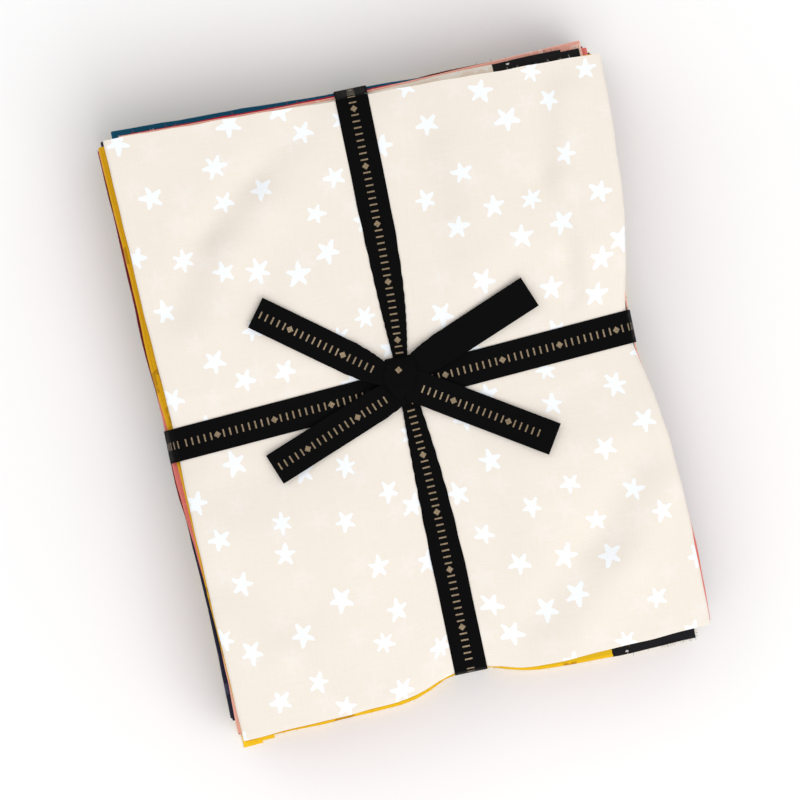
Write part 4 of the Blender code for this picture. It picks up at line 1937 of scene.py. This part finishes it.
    def knot_wrap(self, base: float) -> bpy.types.Object:
        """The ribbon's way over the knot, as an open sheet with a rolled edge and a slanting fold.

        Args:
            base: the height of the bands below it.

        Returns:
            The sheet.
        """
        rows = np.array(self.knot_rows)
        fine = np.linspace(0, len(rows) - 1, 49)
        table = np.stack([np.interp(fine, np.arange(len(rows)), row) for row in rows.T], axis=-1)
        for _ in range(3):
            table[1:-1] = table[1:-1] * 0.5 + (table[:-2] + table[2:]) * 0.25
        across = np.linspace(0.0, 1.0, self.rows)[None, :]
        left, right = table[:, None, 0:2], table[:, None, 2:4]
        place = left * (1 - across[..., None]) + right * across[..., None]
        down = (fine / fine[-1])[:, None]
        edges = (2 * across - 1) ** 8
        rolled = 0.30 * np.exp(-((across - 0.93) / 0.05) ** 2)
        fold = -0.55 * np.exp(-((across - 0.15 - 0.75 * (down - 0.35)) / 0.07) ** 2)
        fold = fold * smooth((down - 0.3) / 0.2)
        soft = 0.22 * np.sin(across * 5.0 + down * 4.0) * (1 - edges)
        high = rows[:, 4].max()
        height = table[:, 4:5] * (1 - 0.42 * edges) + (rolled + fold + soft) * (table[:, 4:5] / high)
        points = np.concatenate([place * MM, (base + height * MM)[..., None]], axis=-1)
        flat = np.stack(np.broadcast_arrays(down * 22 * MM, across * self.width), axis=-1)
        wrap = grid_mesh("ribbon_knot_wrap", points, flat)
        wrap.data.materials.append(self.cloth)
        return wrap

    def knot_core(self, base: float) -> bpy.types.Object:
        """The folded ribbon inside the knot, as a lumpy closed form.

        Args:
            base: the height of the bands below it.

        Returns:
            The core.
        """
        form = bmesh.new()
        bmesh.ops.create_uvsphere(form, u_segments=40, v_segments=20, radius=1.0)
        for vert in form.verts:
            angle = math.atan2(vert.co.y, vert.co.x)
            lobes = 1.0 + 0.10 * math.cos(4 * angle + 0.6) + 0.05 * math.cos(9 * angle)
            vert.co.x = vert.co.x * 6.2 * MM * lobes - 4.0 * MM
            vert.co.y = vert.co.y * 7.0 * MM * lobes + 1.8 * MM
            vert.co.z = base + 1.9 * MM + vert.co.z * 1.9 * MM
        mesh = bpy.data.meshes.new("ribbon_knot_core")
        layer = form.loops.layers.uv.new("flat")
        for face in form.faces:
            for loop in face.loops:
                loop[layer].uv = (loop.vert.co.x, loop.vert.co.y + self.width)
        form.to_mesh(mesh)
        form.free()
        mesh.materials.append(self.cloth)
        mesh.shade_smooth()
        return new_object("ribbon_knot_core", mesh)

    def build(self) -> None:
        """Builds the bands, the free ends and the knot."""
        self.build_cross_band()
        self.build_long_band()
        for end in self.free_ends:
            self.build_free_end(end)
            LOG.info("built %s", end.name)
        self.build_knot()
        LOG.info("built the knot")


@dataclass(frozen=True)
class Studio:
    """A pale floor, soft light from above and a camera straight over the bundle.

    Attributes:
        turn: how far the bundle is turned in the picture, in degrees.
        centre: the point of the stack's top that the picture centres on.
        top: the height of that plane.
        view: how much of the top plane the picture shows.
        distance: the camera's height over that plane.
        sensor: the width of the camera's sensor, in mm.
        floor_half: half the side of the floor.
        floor_drop: how far the floor lies below the bundle, so that the two don't touch.
    """

    turn: float = 11.8
    centre: tuple[float, float] = (-5.5 * MM, -5.2 * MM)
    top: float = 0.045
    view: float = 0.3053
    distance: float = 4.0
    sensor: float = 36.0
    floor_half: float = 2.5
    floor_drop: float = 0.2 * MM

    def build(self) -> None:
        """Adds the floor, the lights and the camera."""
        self.add_floor()
        self.add_lights()
        self.add_camera()
        bpy.context.scene.view_settings.view_transform = "Standard"
        bpy.context.scene.view_settings.look = "None"

    def add_floor(self) -> None:
        """A plain white floor."""
        mesh = bpy.data.meshes.new("floor")
        corners = [(x * self.floor_half, y * self.floor_half, 0.0)
                   for x, y in ((-1, -1), (1, -1), (1, 1), (-1, 1))]
        mesh.from_pydata(corners, [], [(0, 1, 2, 3)])
        floor = new_object("floor", mesh)
        mesh.materials.append(WhiteFloor().material())
        floor.location.z = -self.floor_drop

    def add_light(
        self, name: str, place: tuple[float, float, float], size: float, power: float
    ) -> None:
        """Adds a square area light that points at the bundle.

        Args:
            name: the light's name.
            place: where it hangs.
            size: the length of its side.
            power: its strength in watts.
        """
        light = bpy.data.lights.new(name, "AREA")
        light.shape = "SQUARE"
        light.size = size
        light.energy = power
        lamp = bpy.data.objects.new(name, light)
        lamp.location = place
        aim = -lamp.location.copy()
        lamp.rotation_euler = aim.to_track_quat("-Z", "Y").to_euler()
        bpy.context.scene.collection.objects.link(lamp)

    def add_lights(self) -> None:
        """A broad key from the lower right, a weaker fill, and an even white surround."""
        self.add_light("key", (0.55, -1.15, 1.9), 2.0, 27.5)
        self.add_light("fill", (-1.2, 1.4, 1.6), 2.0, 6.0)
        world = bpy.data.worlds.new("surround")
        world.use_nodes = True
        surround = world.node_tree.nodes["Background"]
        surround.inputs["Color"].default_value = rgba((1.0, 1.0, 1.0))
        surround.inputs["Strength"].default_value = 0.69
        bpy.context.scene.world = world

    def add_camera(self) -> None:
        """A long lens straight above, turned so that the bundle leans left as in the picture."""
        data = bpy.data.cameras.new("camera")
        data.sensor_width = self.sensor
        data.lens = self.sensor * self.distance / self.view
        data.clip_end = 20.0
        camera = bpy.data.objects.new("camera", data)
        camera.location = (*self.centre, self.top + self.distance)
        camera.rotation_euler = (0.0, 0.0, -math.radians(self.turn))
        bpy.context.scene.collection.objects.link(camera)
        bpy.context.scene.camera = camera


def main() -> None:
    """Builds the studio, the cottons and the ribbon, in that order."""
    logging.basicConfig(level=logging.INFO, format="%(name)s: %(message)s")
    Studio().build()
    shape = StackShape()
    stack = ClothStack(shape)
    stack.build()
    RibbonTie(shape, stack).build()
    LOG.info("all pieces built")


if __name__ == "__main__":
    main()
